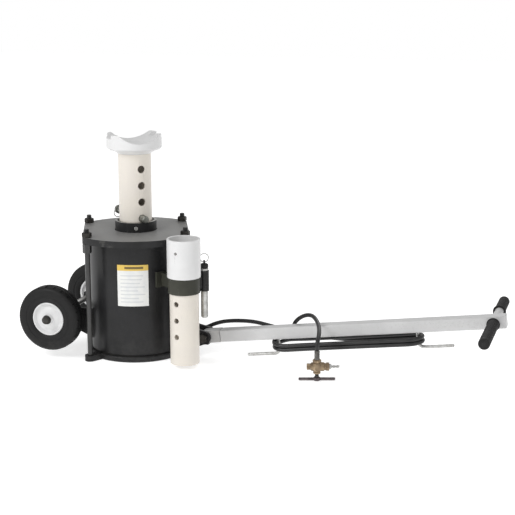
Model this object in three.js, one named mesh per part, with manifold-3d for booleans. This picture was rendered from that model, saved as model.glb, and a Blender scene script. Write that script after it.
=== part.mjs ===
// Wheeled pneumatic lift jack, about ten tonne class: tie-rod air cylinder with a hollow ram, pinned
// telescopic post with cradle saddle, stored extension tube and spare pin, two transport wheels,
// tow handle with hose hooks and a hand air valve on a wound hose.
// Units are millimetres, +Z is up, the handle points along +X and the floor is z = 0.
import * as THREE from 'three';
import { mergeVertices } from 'three/addons/utils/BufferGeometryUtils.js';
import Module from 'manifold-3d';

const wasm = await Module();
wasm.setup();

// ---------------------------------------------------------------- driving dimensions
const GAP = 0.3; // clearance left between pieces that touch
const WIDE = 32; // facets round the cylinder family
const MEDIUM = 24; // facets round the ram, post and saddle
const SLIM = 20; // facets round the stored tube
const SMALL = 12; // facets of rods, bolts and holes
const PLATE_TURN = THREE.MathUtils.degToRad(23.5); // end plates turned against the handle direction
const HOLE_TURN = THREE.MathUtils.degToRad(-43); // direction of the cross holes in the post

const BASE_R = 160;
const BASE_T = 18;
const SHELL_R = 150;
const SHELL_WALL = 6;
const GASKET_T = 2;
const PLATE_TOP = 388.5;
const PLATE_T = 20;
const PLATE_R = 200;
const PLATE_HALF_WIDTH = 163;
const SHELL_BOTTOM = BASE_T + GASKET_T + 2 * GAP;
const PLATE_BOTTOM = PLATE_TOP - PLATE_T;
const SHELL_TOP = PLATE_BOTTOM - GASKET_T - 2 * GAP;
const BORE_R = SHELL_R - SHELL_WALL;

const ROD_U = 149; // tie rods, across the end plates
const ROD_W = 117; // tie rods, along the end plates
const ROD_R = 8;
const NUT_FLATS = 26;
const NUT_T = 14;

const RAM_R = 57;
const RAM_BORE = 51.6;
const PISTON_BOTTOM = 88;
const PISTON_TOP = 122;
const COLLAR_R = 64.5;
const RIM_Z = 418.3;

const POST_R = 50.8;
const POST_BORE = 44.8;
const POST_BOTTOM = 128;
const POST_TOP = 627.5;
const HOLE_PITCH = 50.8;
const HOLE_R = 12;
const PIN_R = 11;
const PIN_Z = RIM_Z + GAP + PIN_R;

const SADDLE_R = 85;
const SADDLE_TOP = 689;

const EXT_U = 139.5; // stored extension, measured in the turned frame of the end plates
const EXT_W = 209;
const EXT_BOTTOM = 14;
const TUBE_R = 44.2;
const SLEEVE_R = 50.8;
const SLEEVE_BOTTOM = 281;
const SLEEVE_TOP = 398;
const BAND_R = 48.2;
const BAND_BOTTOM = 233;

const SPARE = [258, -87]; // stored spare pin
const SPARE_BOTTOM = 146;
const SPARE_TOP = 300;
const HOLDER_BOTTOM = 230;
const HOLDER_TOP = 293;

const WHEEL = { x: -219.5, z: 126.8, y: 167, r: 101.5, width: 55, hub: 52 };
const AXLE_R = 9.5;

const PIVOT = { x: 232, z: 61.5 };
const BAR_TILT = THREE.MathUtils.degToRad(7.8);
const BAR_HALF = 19;
const BAR_WALL = 3;
const STUB_END = 50;
const BAR_END = 931;
const TEE_S = 896;
const TEE_HALF = 236;
const TEE_R = 12.7;
const GRIP_R = 16.5;
const HOOK_S = [233, 667];
const HOOK_DROP = 67;
const HOOK_REACH = 105;
const HOOK_R = 5;

const HOSE_R = 6.3;
const COIL = { s0: 220, s1: 680, n0: -54, n1: -28.8, half: 36 };
const VALVE = { x: 628, y: -146, z: 43, turn: THREE.MathUtils.degToRad(17.8) };

// ---------------------------------------------------------------- finishes
const FINISH = {
  black: { color: 0x17181a, roughness: 0.3, metalness: 0.1 },
  white: { color: 0xe6e3db, roughness: 0.4, metalness: 0.05 },
  steel: { color: 0x9a9c9b, roughness: 0.35, metalness: 1.0 },
  darkSteel: { color: 0x3a3b3b, roughness: 0.45, metalness: 0.9 },
  castIron: { color: 0x4c4e4e, roughness: 0.65, metalness: 0.6 },
  brass: { color: 0xb08d48, roughness: 0.3, metalness: 1.0 },
  bronze: { color: 0x9c7648, roughness: 0.4, metalness: 1.0 },
  rubber: { color: 0x141414, roughness: 0.85, metalness: 0.0 },
  olive: { color: 0x34352c, roughness: 0.55, metalness: 0.1 },
};

// ---------------------------------------------------------------- solid helpers

/** Closed manifold solid from a three.js geometry, turned outward. */
function solid(geometry) {
  const bare = geometry.clone();
  bare.deleteAttribute('normal');
  bare.deleteAttribute('uv');
  const merged = mergeVertices(bare, 1e-4);
  const source = merged.index.array;
  const triangles = [];
  for (let i = 0; i < source.length; i += 3) {
    const [a, b, c] = [source[i], source[i + 1], source[i + 2]];
    if (a !== b && b !== c && c !== a) triangles.push(a, b, c);
  }
  const build = (list) => new wasm.Manifold(new wasm.Mesh({
    numProp: 3,
    vertProperties: new Float32Array(merged.attributes.position.array),
    triVerts: new Uint32Array(list),
  }));
  const first = build(triangles);
  if (first.volume() > 0) return first;
  const flipped = [];
  for (let i = 0; i < triangles.length; i += 3) {
    flipped.push(triangles[i], triangles[i + 2], triangles[i + 1]);
  }
  return build(flipped);
}

/** Upright cylinder between two heights. */
function rod(radius, z0, z1, segments = 24, x = 0, y = 0) {
  const geometry = new THREE.CylinderGeometry(radius, radius, z1 - z0, segments);
  geometry.rotateX(Math.PI / 2);
  geometry.translate(x, y, (z0 + z1) / 2);
  return solid(geometry);
}

/** Cylinder between two points. */
function bar(from, to, radius, segments = 24) {
  const a = new THREE.Vector3(...from);
  const b = new THREE.Vector3(...to);
  const geometry = new THREE.CylinderGeometry(radius, radius, a.distanceTo(b), segments);
  const up = new THREE.Vector3(0, 1, 0);
  const turn = new THREE.Quaternion().setFromUnitVectors(up, b.clone().sub(a).normalize());
  geometry.applyQuaternion(turn);
  const middle = a.add(b).multiplyScalar(0.5);
  geometry.translate(middle.x, middle.y, middle.z);
  return solid(geometry);
}

/** Box from its lower to its upper corner, optionally turned about the vertical through the origin. */
function box(x0, x1, y0, y1, z0, z1, turn = 0) {
  const geometry = new THREE.BoxGeometry(x1 - x0, y1 - y0, z1 - z0);
  geometry.translate((x0 + x1) / 2, (y0 + y1) / 2, (z0 + z1) / 2);
  geometry.rotateZ(turn);
  return solid(geometry);
}

/** Solid of revolution about Z from a closed [radius, height] profile. */
function turned(profile, segments = MEDIUM, x = 0, y = 0) {
  const points = profile.map(([r, z]) => new THREE.Vector2(r, z));
  if (profile[0][0] > 0) points.push(points[0].clone());
  const geometry = new THREE.LatheGeometry(points, segments);
  geometry.rotateX(Math.PI / 2);
  geometry.translate(x, y, 0);
  return solid(geometry);
}

/** Plain ring about Z. */
function ring(inner, outer, z0, z1, segments = MEDIUM, x = 0, y = 0) {
  return turned([[inner, z0], [outer, z0], [outer, z1], [inner, z1]], segments, x, y);
}

/** Hexagonal prism about Z with the given width across flats. */
function hexagon(flats, z0, z1, x = 0, y = 0) {
  return rod(flats / Math.sqrt(3), z0, z1, 6, x, y);
}

/** Prism of an outline drawn in the XZ plane, between two Y values. */
function slabXZ(outline, y0, y1) {
  const shape = new THREE.Shape(outline.map(([x, z]) => new THREE.Vector2(x, z)));
  const geometry = new THREE.ExtrudeGeometry(shape, { depth: y1 - y0, bevelEnabled: false });
  geometry.rotateX(Math.PI / 2);
  geometry.translate(0, y1, 0);
  return solid(geometry);
}

/** Round tube swept along a smooth curve through the given points. */
function sweep(points, radius, steps, sides = 8) {
  const curve = new THREE.CatmullRomCurve3(points.map((p) => new THREE.Vector3(...p)));
  const section = new THREE.Shape();
  section.absarc(0, 0, radius, 0, 2 * Math.PI, false);
  const geometry = new THREE.ExtrudeGeometry(section, {
    steps,
    curveSegments: sides / 2,
    bevelEnabled: false,
    extrudePath: curve,
  });
  return solid(geometry);
}

/** Wire ring lying in the XY plane about the origin. */
function wireRing(radius, wire) {
  const profile = [];
  for (let i = 0; i < 6; i += 1) {
    const angle = (i * Math.PI) / 3;
    profile.push([radius + wire * Math.cos(angle), wire * Math.sin(angle)]);
  }
  return turned(profile, 16);
}

/** Moves a solid by rotations in degrees about X, Y, Z in that order, then by a shift. */
function moved(body, shift, turns = [0, 0, 0]) {
  return body.rotate(turns).translate(shift);
}

const group = new THREE.Group();

/** Adds a solid to the assembly as one named mesh. */
function add(name, body, finish) {
  const mesh = body.getMesh();
  const geometry = new THREE.BufferGeometry();
  geometry.setAttribute('position', new THREE.BufferAttribute(new Float32Array(mesh.vertProperties), 3));
  geometry.setIndex(new THREE.BufferAttribute(new Uint32Array(mesh.triVerts), 1));
  geometry.computeVertexNormals();
  const part = new THREE.Mesh(geometry, new THREE.MeshStandardMaterial(FINISH[finish]));
  part.name = name;
  group.add(part);
}

/** Point in the turned frame of the end plates: u across, w towards the label side. */
function plateFrame(u, w) {
  const c = Math.cos(PLATE_TURN);
  const s = Math.sin(PLATE_TURN);
  return [u * c + w * s, u * s - w * c];
}

const degrees = THREE.MathUtils.radToDeg;
const rods = [[-ROD_U, ROD_W], [ROD_U, ROD_W], [-ROD_U, -ROD_W], [ROD_U, -ROD_W]]
  .map(([u, w]) => plateFrame(u, w));

// ---------------------------------------------------------------- air cylinder

function cylinderGroup() {
  let base = turned([
    [0, 0], [BASE_R - 3, 0], [BASE_R, 3], [BASE_R, BASE_T - 3], [BASE_R - 3, BASE_T], [0, BASE_T],
  ], WIDE);
  for (const [x, y] of rods) {
    const reach = Math.hypot(x, y);
    base = base.add(box(BASE_R - 30, reach, -17, 17, 0, BASE_T, Math.atan2(y, x)));
    base = base.add(rod(17, 0, BASE_T, 14, x, y));
  }
  for (const [x, y] of rods) base = base.subtract(rod(ROD_R + GAP, 4, BASE_T + 1, SMALL, x, y));
  add('base_plate', base, 'black');

  const inlet = bar([BORE_R - 30, 44, 72], [SHELL_R + 10, 44, 72], 8, 16);
  const shell = ring(BORE_R, SHELL_R, SHELL_BOTTOM, SHELL_TOP, WIDE).subtract(inlet);
  add('cylinder_shell', shell, 'black');
  add('base_gasket', ring(BORE_R, SHELL_R, BASE_T + GAP, BASE_T + GAP + GASKET_T, WIDE), 'rubber');
  add('top_gasket', ring(BORE_R, SHELL_R, SHELL_TOP + GAP, PLATE_BOTTOM - GAP, WIDE), 'rubber');

  let plate = turned([
    [0, PLATE_BOTTOM], [PLATE_R, PLATE_BOTTOM], [PLATE_R, PLATE_TOP - 3], [PLATE_R - 3, PLATE_TOP],
    [0, PLATE_TOP],
  ], WIDE);
  plate = plate.intersect(box(
    -PLATE_HALF_WIDTH, PLATE_HALF_WIDTH, -PLATE_R - 5, PLATE_R + 5,
    PLATE_BOTTOM - 5, PLATE_TOP + 5, PLATE_TURN,
  ));
  plate = plate.subtract(rod(66, PLATE_BOTTOM - 1, PLATE_TOP + 1, MEDIUM));
  for (const [x, y] of rods) {
    plate = plate.subtract(rod(ROD_R + GAP, PLATE_BOTTOM - 1, PLATE_TOP + 1, SMALL, x, y));
  }
  add('top_plate', plate, 'black');

  rods.forEach(([x, y], index) => {
    const shank = turned([
      [0, 4 + GAP], [ROD_R - 1.5, 4 + GAP], [ROD_R, 6], [ROD_R, 412], [ROD_R - 2, 414], [0, 414],
    ], SMALL, x, y);
    const shoulder = hexagon(NUT_FLATS - 2, PLATE_BOTTOM - GAP - 28, PLATE_BOTTOM - GAP, x, y);
    add(`tie_rod_${index + 1}`, shank.add(shoulder), 'black');
    const low = PLATE_TOP + GAP;
    const nut = hexagon(NUT_FLATS, low, low + NUT_T, x, y)
      .subtract(rod(ROD_R + GAP, low - 1, low + NUT_T + 1, SMALL, x, y));
    add(`rod_nut_${index + 1}`, nut, 'darkSteel');
  });

  const bushFoot = PLATE_BOTTOM - GAP;
  add('guide_bush', turned([
    [RAM_R + 0.4, bushFoot - 24], [78, bushFoot - 24], [80, bushFoot - 22], [80, bushFoot],
    [65.7, bushFoot], [65.7, PLATE_TOP - 3], [RAM_R + 0.4, PLATE_TOP - 3],
  ], MEDIUM), 'bronze');
  add('wiper_ring', ring(RAM_R + 0.4, 65.6, PLATE_TOP - 3 + GAP, PLATE_TOP - 0.2, MEDIUM), 'rubber');
}

// ---------------------------------------------------------------- ram and piston

function ramGroup() {
  add('piston', turned([
    [0, SHELL_BOTTOM - 1], [62, SHELL_BOTTOM - 1], [62, PISTON_BOTTOM], [BORE_R - 0.6, PISTON_BOTTOM],
    [BORE_R - 0.6, PISTON_BOTTOM + 12], [BORE_R - 12, PISTON_BOTTOM + 12],
    [BORE_R - 12, PISTON_TOP - 10], [BORE_R - 0.6, PISTON_TOP - 10], [BORE_R - 0.6, PISTON_TOP],
    [0, PISTON_TOP],
  ], WIDE), 'castIron');
  add('piston_cup', ring(
    BORE_R - 12 + GAP, BORE_R - 0.4, PISTON_BOTTOM + 12 + GAP, PISTON_TOP - 10 - GAP, WIDE,
  ), 'rubber');
  add('ram_tube', ring(RAM_BORE, RAM_R, PISTON_TOP + GAP, RIM_Z - 0.6, MEDIUM), 'steel');

  const toward = plateFrame(0, 1);
  const along = (reach, z) => [toward[0] * reach, toward[1] * reach, z];
  const collar = turned([
    [RAM_R + GAP, PLATE_TOP + GAP], [COLLAR_R - 1, PLATE_TOP + GAP], [COLLAR_R, PLATE_TOP + 2],
    [COLLAR_R, RIM_Z - 2], [COLLAR_R - 2, RIM_Z], [RAM_R + GAP, RIM_Z],
  ], MEDIUM).subtract(bar(along(50, 402), along(80, 402), 3.3, 16));
  add('ram_collar', collar, 'black');
  const screw = bar(along(RAM_R + GAP, 402), along(66, 402), 3, 16)
    .add(bar(along(COLLAR_R + GAP, 402), along(COLLAR_R + 5, 402), 5.5, 6));
  add('collar_screw', screw, 'steel');
}

// ---------------------------------------------------------------- post, saddle and locking pin

const holeAxis = [Math.cos(HOLE_TURN), Math.sin(HOLE_TURN)];

/** Point on the cross-hole axis of the post. */
function onHole(reach, z) {
  return [holeAxis[0] * reach, holeAxis[1] * reach, z];
}

function postGroup() {
  let post = ring(POST_BORE, POST_R, POST_BOTTOM, POST_TOP, MEDIUM);
  for (let step = -3; step <= 3; step += 1) {
    const z = PIN_Z + step * HOLE_PITCH;
    post = post.subtract(bar(onHole(-60, z), onHole(60, z), HOLE_R, SMALL));
  }
  add('post_tube', post, 'white');

  const seat = POST_TOP + GAP;
  const troughTurn = -54;
  let saddle = turned([
    [0, seat - 34], [POST_BORE - 2.5, seat - 34], [POST_BORE - 0.5, seat - 32],
    [POST_BORE - 0.5, seat], [POST_R + 3, seat], [POST_R + 12, seat + 7], [SADDLE_R - 5, seat + 13],
    [SADDLE_R, seat + 18], [SADDLE_R, SADDLE_TOP - 12], [SADDLE_R - 8, SADDLE_TOP], [0, SADDLE_TOP],
  ], MEDIUM);
  const trough = moved(
    solid(new THREE.CylinderGeometry(88, 88, 240, 28)),
    [0, 0, 664 + 88],
    [0, 0, troughTurn - 90],
  );
  const notch = box(-30, 30, -120, 120, 677, 720, THREE.MathUtils.degToRad(troughTurn));
  saddle = saddle.subtract(trough).subtract(notch);
  add('saddle', saddle, 'white');

  const front = 78;
  const rear = -126;
  let pin = bar(onHole(rear, PIN_Z), onHole(front - 3, PIN_Z), PIN_R, 16)
    .add(bar(onHole(front - 4, PIN_Z), onHole(front, PIN_Z), PIN_R - 2.5, 16))
    .add(bar(onHole(rear - 12, PIN_Z), onHole(rear + 1, PIN_Z), 14, 16));
  const tab = box(rear - 23, rear - 11, -2.5, 2.5, PIN_Z - 6, PIN_Z + 6, HOLE_TURN);
  const across = [-holeAxis[1], holeAxis[0]];
  const eye = onHole(rear - 17.5, PIN_Z);
  const drill = bar(
    [eye[0] - across[0] * 8, eye[1] - across[1] * 8, PIN_Z],
    [eye[0] + across[0] * 8, eye[1] + across[1] * 8, PIN_Z], 3, 8,
  );
  pin = pin.add(tab).subtract(drill);
  add('lock_pin', pin, 'steel');
  const hanging = moved(wireRing(13, 1.5), [eye[0], eye[1], PIN_Z - 13], [90, 0, degrees(HOLE_TURN) + 90]);
  add('lock_pin_ring', hanging, 'steel');
}

// ---------------------------------------------------------------- stored extension and spare pin

function storageGroup() {
  const [ex, ey] = plateFrame(EXT_U, EXT_W);
  const toShell = Math.atan2(-ey, -ex);
  const holeTurn = THREE.MathUtils.degToRad(-103);
  let tube = ring(38, TUBE_R, EXT_BOTTOM, SLEEVE_BOTTOM + 60, SLIM, ex, ey);
  for (let step = 0; step < 3; step += 1) {
    const z = 102.5 + step * HOLE_PITCH;
    const [dx, dy] = [Math.cos(holeTurn) * 60, Math.sin(holeTurn) * 60];
    tube = tube.subtract(bar([ex - dx, ey - dy, z], [ex + dx, ey + dy, z], 8.3, SMALL - 2));
  }
  add('extension_tube', tube, 'white');
  const side = THREE.MathUtils.degToRad(-98);
  const bleed = bar([ex, ey, 360], [ex + 70 * Math.cos(side), ey + 70 * Math.sin(side), 360], 5, 14);
  const sleeve = turned([
    [TUBE_R + GAP, SLEEVE_BOTTOM], [SLEEVE_R - 1.5, SLEEVE_BOTTOM], [SLEEVE_R, SLEEVE_BOTTOM + 1.5],
    [SLEEVE_R, SLEEVE_TOP - 1.5], [SLEEVE_R - 1.5, SLEEVE_TOP], [TUBE_R + GAP, SLEEVE_TOP],
  ], SLIM, ex, ey).subtract(bleed);
  add('extension_sleeve', sleeve, 'white');

  const reach = Math.hypot(ex, ey);
  const bandTop = SLEEVE_BOTTOM - GAP;
  const arm = moved(
    box(TUBE_R + 2, reach - SHELL_R, -14, 14, BAND_BOTTOM + 4, bandTop - 4),
    [ex, ey, 0],
    [0, 0, degrees(toShell)],
  );
  const pad = ring(SHELL_R + GAP, SHELL_R + 5, BAND_BOTTOM, bandTop, WIDE)
    .intersect(box(SHELL_R - 20, SHELL_R + 20, -32, 32, 200, 300, Math.atan2(ey, ex)));
  const band = ring(TUBE_R + GAP, BAND_R, BAND_BOTTOM, bandTop, SLIM, ex, ey)
    .add(arm)
    .subtract(rod(TUBE_R + GAP, 200, 320, SLIM, ex, ey))
    .subtract(rod(SHELL_R + GAP, 200, 320, WIDE))
    .add(pad);
  add('extension_band', band, 'olive');

  const [px, py] = SPARE;
  const toPin = Math.atan2(py - ey, px - ex);
  const distance = Math.hypot(px - ex, py - ey);
  const web = moved(
    box(BAND_R - 4, distance - 12, -8, 8, BAND_BOTTOM + 6, BAND_BOTTOM + 42),
    [ex, ey, 0],
    [0, 0, degrees(toPin)],
  ).subtract(rod(BAND_R + GAP, 200, 320, SLIM, ex, ey));
  const holder = ring(PIN_R + 0.6, 14.4, HOLDER_BOTTOM, HOLDER_TOP, 16, px, py).add(
    web.subtract(rod(13, 200, 320, 16, px, py)),
  );
  add('pin_holder', holder, 'black');

  add('spare_pin', turned([
    [0, SPARE_BOTTOM], [PIN_R - 2.5, SPARE_BOTTOM], [PIN_R, SPARE_BOTTOM + 3], [PIN_R, SPARE_TOP - 5],
    [13, SPARE_TOP - 5], [13, SPARE_TOP], [0, SPARE_TOP],
  ], 16, px, py), 'steel');
  const knobBottom = SPARE_TOP + GAP;
  const knob = turned([
    [0, knobBottom], [10, knobBottom], [12.5, knobBottom + 3], [12.5, knobBottom + 10],
    [9, knobBottom + 14], [0, knobBottom + 14],
  ], 16, px, py).add(box(px - 6, px + 6, py - 2.5, py + 2.5, knobBottom + 12, knobBottom + 24));
  const eyeZ = knobBottom + 18.5;
  const drill = bar([px, py - 8, eyeZ], [px, py + 8, eyeZ], 3, 8);
  const turn = degrees(PLATE_TURN) + 90;
  const spun = knob.subtract(drill).translate([-px, -py, 0]).rotate([0, 0, turn]).translate([px, py, 0]);
  add('spare_knob', spun, 'rubber');
  const loop = moved(wireRing(13, 1.5), [px, py, eyeZ + 13], [90, 0, degrees(PLATE_TURN)]);
  add('spare_ring', loop, 'steel');
}

// ---------------------------------------------------------------- wheels

/** Profile of revolution about the axle, laid along Y. */
function alongY(profile, segments) {
  return moved(turned(profile, segments), [WHEEL.x, 0, WHEEL.z], [-90, 0, 0]);
}

function wheelGroup() {
  add('axle', bar([WHEEL.x, -203, WHEEL.z], [WHEEL.x, 203, WHEEL.z], AXLE_R, 16), 'steel');
  const inner = WHEEL.y - WHEEL.width / 2;
  const outer = WHEEL.y + WHEEL.width / 2;
  for (const [side, sign] of [['near', -1], ['far', 1]]) {
    const outline = [[-100, 52], [-100, 148], [-207, 150], [-236, 142], [-240, 118], [-222, 103]];
    const plate = slabXZ(outline, sign > 0 ? 100 : -108, sign > 0 ? 108 : -100)
      .subtract(rod(SHELL_R + GAP, 40, 160, WIDE))
      .subtract(bar([WHEEL.x, -120, WHEEL.z], [WHEEL.x, 120, WHEEL.z], AXLE_R + GAP, 16));
    add(`axle_bracket_${side}`, plate, 'black');

    const r = WHEEL.r;
    const tyre = [
      [WHEEL.hub + GAP, inner + 6], [62, inner + 1], [r - 12, inner], [r - 4, inner + 6],
      [r, inner + 17], [r, outer - 17], [r - 4, outer - 6], [r - 12, outer], [62, outer - 1],
      [WHEEL.hub + GAP, outer - 6],
    ];
    const hub = [
      [AXLE_R + 0.4, 108.6], [16, 108.6], [16, inner + 16], [46, inner + 16], [46, inner + 6],
      [WHEEL.hub, inner + 6], [WHEEL.hub, outer - 6], [47, outer - 6], [40, outer - 14],
      [16, outer - 11], [16, outer + 1], [AXLE_R + 0.4, outer + 1],
    ];
    const cap = [
      [0, 210], [0, 203 + GAP], [AXLE_R + GAP, 203 + GAP], [AXLE_R + GAP, outer + 1.4], [13, outer + 1.4],
      [14, outer + 4], [13, 208], [10, 210],
    ];
    const flip = (profile) => profile.map(([radius, y]) => [radius, sign * y]);
    add(`tyre_${side}`, alongY(flip(tyre), 28), 'rubber');
    add(`hub_${side}`, alongY(flip(hub), 28), 'white');
    add(`axle_cap_${side}`, moved(
      turnedOnAxis(flip(cap), 16), [WHEEL.x, 0, WHEEL.z], [-90, 0, 0],
    ), 'darkSteel');
  }
}

/** Revolution whose profile starts and ends on the axis. */
function turnedOnAxis(profile, segments) {
  const points = profile.slice(1).map(([r, z]) => new THREE.Vector2(r, z));
  points.push(new THREE.Vector2(...profile[0]));
  points.unshift(new THREE.Vector2(0, profile[1][1]));
  const geometry = new THREE.LatheGeometry(points, segments);
  geometry.rotateX(Math.PI / 2);
  return solid(geometry);
}

// ---------------------------------------------------------------- handle

/** Places a solid drawn as (s along the bar, y, n above the bar) at the handle pivot. */
function onHandle(body) {
  return body.rotate([0, -degrees(BAR_TILT), 0]).translate([PIVOT.x, 0, PIVOT.z]);
}

/** Point of the handle frame in world coordinates. */
function handlePoint(s, y, n) {
  const c = Math.cos(BAR_TILT);
  const k = Math.sin(BAR_TILT);
  return [PIVOT.x + s * c - n * k, y, PIVOT.z + s * k + n * c];
}

function bracketGroup() {
  const nose = [];
  for (let i = 0; i <= 8; i += 1) {
    const angle = -Math.PI / 2 + (i * Math.PI) / 8;
    nose.push([PIVOT.x + 22 * Math.cos(angle), PIVOT.z + 22 * Math.sin(angle)]);
  }
  const outline = [[130, 26], [200, 26], ...nose, [190, 92], [130, 92]];
  let bracket = slabXZ(outline, -29, -21).add(slabXZ(outline, 21, 29));
  bracket = bracket.add(box(130, 198, -25, 25, 26, 32));
  bracket = bracket.add(box(238, 246, -25, 25, 39.4, 42.6));
  bracket = bracket.add(box(150, 160, -25, 25, 28, 92));
  bracket = bracket.subtract(rod(SHELL_R + GAP, 0, 120, WIDE));
  bracket = bracket.subtract(bar([PIVOT.x, -40, PIVOT.z], [PIVOT.x, 40, PIVOT.z], 8 + GAP, 16));
  add('handle_bracket', bracket, 'black');

  const bolt = bar([PIVOT.x, -29.4, PIVOT.z], [PIVOT.x, 44, PIVOT.z], 8, 16)
    .add(hexY(24, -39, -29 - GAP));
  add('pivot_bolt', bolt, 'steel');
  const nut = hexY(24, 29 + GAP, 42)
    .subtract(bar([PIVOT.x, 20, PIVOT.z], [PIVOT.x, 50, PIVOT.z], 8 + GAP, 16));
  add('pivot_nut', nut, 'steel');
}

/** Hexagonal prism along Y at the handle pivot. */
function hexY(flats, y0, y1) {
  return moved(hexagon(flats, y0, y1), [PIVOT.x, 0, PIVOT.z], [-90, 0, 0]);
}

function handleGroup() {
  let stub = box(0, STUB_END, -BAR_HALF, BAR_HALF, -BAR_HALF, BAR_HALF);
  stub = stub.add(bar([0, -BAR_HALF, 0], [0, BAR_HALF, 0], BAR_HALF, MEDIUM));
  const spigot = BAR_HALF - BAR_WALL - GAP;
  stub = stub.add(box(STUB_END - 5, STUB_END + 55, -spigot, spigot, -spigot, spigot));
  stub = stub.subtract(bar([0, -30, 0], [0, 30, 0], 8 + GAP, 16));
  add('handle_stub', onHandle(stub), 'white');

  const hollow = BAR_HALF - BAR_WALL;
  let tube = box(STUB_END + GAP, BAR_END, -BAR_HALF, BAR_HALF, -BAR_HALF, BAR_HALF);
  tube = tube.subtract(box(STUB_END - 5, BAR_END - 4, -hollow, hollow, -hollow, hollow));
  tube = tube.subtract(bar([TEE_S, -30, 0], [TEE_S, 30, 0], TEE_R + GAP, SMALL));
  add('handle_bar', onHandle(tube), 'white');

  const tee = bar([TEE_S, -TEE_HALF, 0], [TEE_S, TEE_HALF, 0], TEE_R, SMALL);
  add('tee_bar', onHandle(tee), 'white');
  for (const [name, from, to] of [['grip_near', -34, -242], ['grip_far', 112, 242]]) {
    const out = Math.sign(to);
    let grip = bar([TEE_S, from, 0], [TEE_S, to, 0], GRIP_R, SMALL)
      .add(bar([TEE_S, from, 0], [TEE_S, from + out * 5, 0], GRIP_R + 3, SMALL));
    for (let k = 1; k < 4; k += 1) {
      const y = from + out * (8 + (k * (Math.abs(to - from) - 20)) / 4);
      const groove = moved(ring(GRIP_R - 1.2, GRIP_R + 4, -1.5, 1.5, SMALL), [TEE_S, y, 0], [90, 0, 0]);
      grip = grip.subtract(groove);
    }
    grip = grip.subtract(bar([TEE_S, 0, 0], [TEE_S, out * (TEE_HALF + GAP), 0], TEE_R + GAP, SMALL));
    add(name, onHandle(grip), 'rubber');
  }

  for (const [name, s, out] of [['hose_hook_inner', HOOK_S[0], -1], ['hose_hook_outer', HOOK_S[1], 1]]) {
    const start = -BAR_HALF - GAP;
    const path = [
      [s, 0, start], [s, 0, -HOOK_DROP + 28], [s, 0, -HOOK_DROP + 13], [s + out * 2, 0, -HOOK_DROP + 6],
      [s + out * 8, 0, -HOOK_DROP + 1], [s + out * 19, 0, -HOOK_DROP], [s + out * 60, 0, -HOOK_DROP],
      [s + out * HOOK_REACH, 0, -HOOK_DROP],
    ];
    add(name, onHandle(sweep(path, HOOK_R, 16, 8)), 'steel');
  }
}

// ---------------------------------------------------------------- air hose and valve

function hoseGroup() {
  const z = 72;
  const y = 44;
  const fitting = bar([BORE_R + 4, y, z], [SHELL_R + 4, y, z], 7.6, 16)
    .add(moved(hexagon(19, 0, 12), [SHELL_R - 1, y, z], [0, 90, 0]))
    .add(bar([SHELL_R + 8, y, z], [SHELL_R + 34, y, z], 7, 16))
    .subtract(bar([BORE_R - 10, y, z], [SHELL_R + 40, y, z], 3.2, 12));
  add('inlet_fitting', fitting, 'brass');

  const lead = [
    [SHELL_R + 35, y, z], [SHELL_R + 46, y, z], [216, 44.5, 76], [242, 45.5, 88], [272, 46, 98],
    [320, 46, 105], [375, 48, 105], [430, 49, 96], [480, 50, 86],
    handlePoint(300, 49, COIL.n1 + HOSE_R + 2), handlePoint(325, 43, COIL.n1 + HOSE_R + 2),
    handlePoint(350, 36, COIL.n1 + HOSE_R + 2),
  ];
  add('hose_lead', sweep(lead, HOSE_R, 22, 8), 'rubber');

  const middle = (COIL.s0 + COIL.s1) / 2;
  const straight = (COIL.s1 - COIL.s0) / 2 - COIL.half;
  const outline = (half) => {
    const shape = new THREE.Shape();
    shape.moveTo(middle - straight, -half);
    shape.lineTo(middle + straight, -half);
    shape.absarc(middle + straight, 0, half, -Math.PI / 2, Math.PI / 2, false);
    shape.lineTo(middle - straight, half);
    shape.absarc(middle - straight, 0, half, Math.PI / 2, (3 * Math.PI) / 2, false);
    return shape;
  };
  const shape = outline(COIL.half + HOSE_R);
  shape.holes.push(outline(COIL.half - HOSE_R));
  const coil = new THREE.ExtrudeGeometry(shape, {
    depth: COIL.n1 - COIL.n0,
    curveSegments: 8,
    bevelEnabled: false,
  });
  coil.translate(0, 0, COIL.n0);
  add('hose_coil', onHandle(solid(coil)), 'rubber');

  const top = VALVE.z + 48;
  const tail = [
    handlePoint(254, 36, COIL.n1 + HOSE_R + 2), handlePoint(266, 35.5, -8), handlePoint(276, 34.5, 8),
    [512, 33, 122], [530, 24, 139], [552, 12, 151], [574, -4, 155], [594, -30, 150], [612, -68, 141],
    [624, -112, 130], [VALVE.x, VALVE.y + 4, 116],
    [VALVE.x, VALVE.y, 104], [VALVE.x, VALVE.y, top + 1],
  ];
  add('hose_tail', sweep(tail, HOSE_R, 22, 8), 'rubber');
}

/** Places a solid drawn about the valve centre. */
function onValve(body) {
  return body.rotate([0, 0, degrees(VALVE.turn)]).translate([VALVE.x, VALVE.y, VALVE.z]);
}

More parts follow.
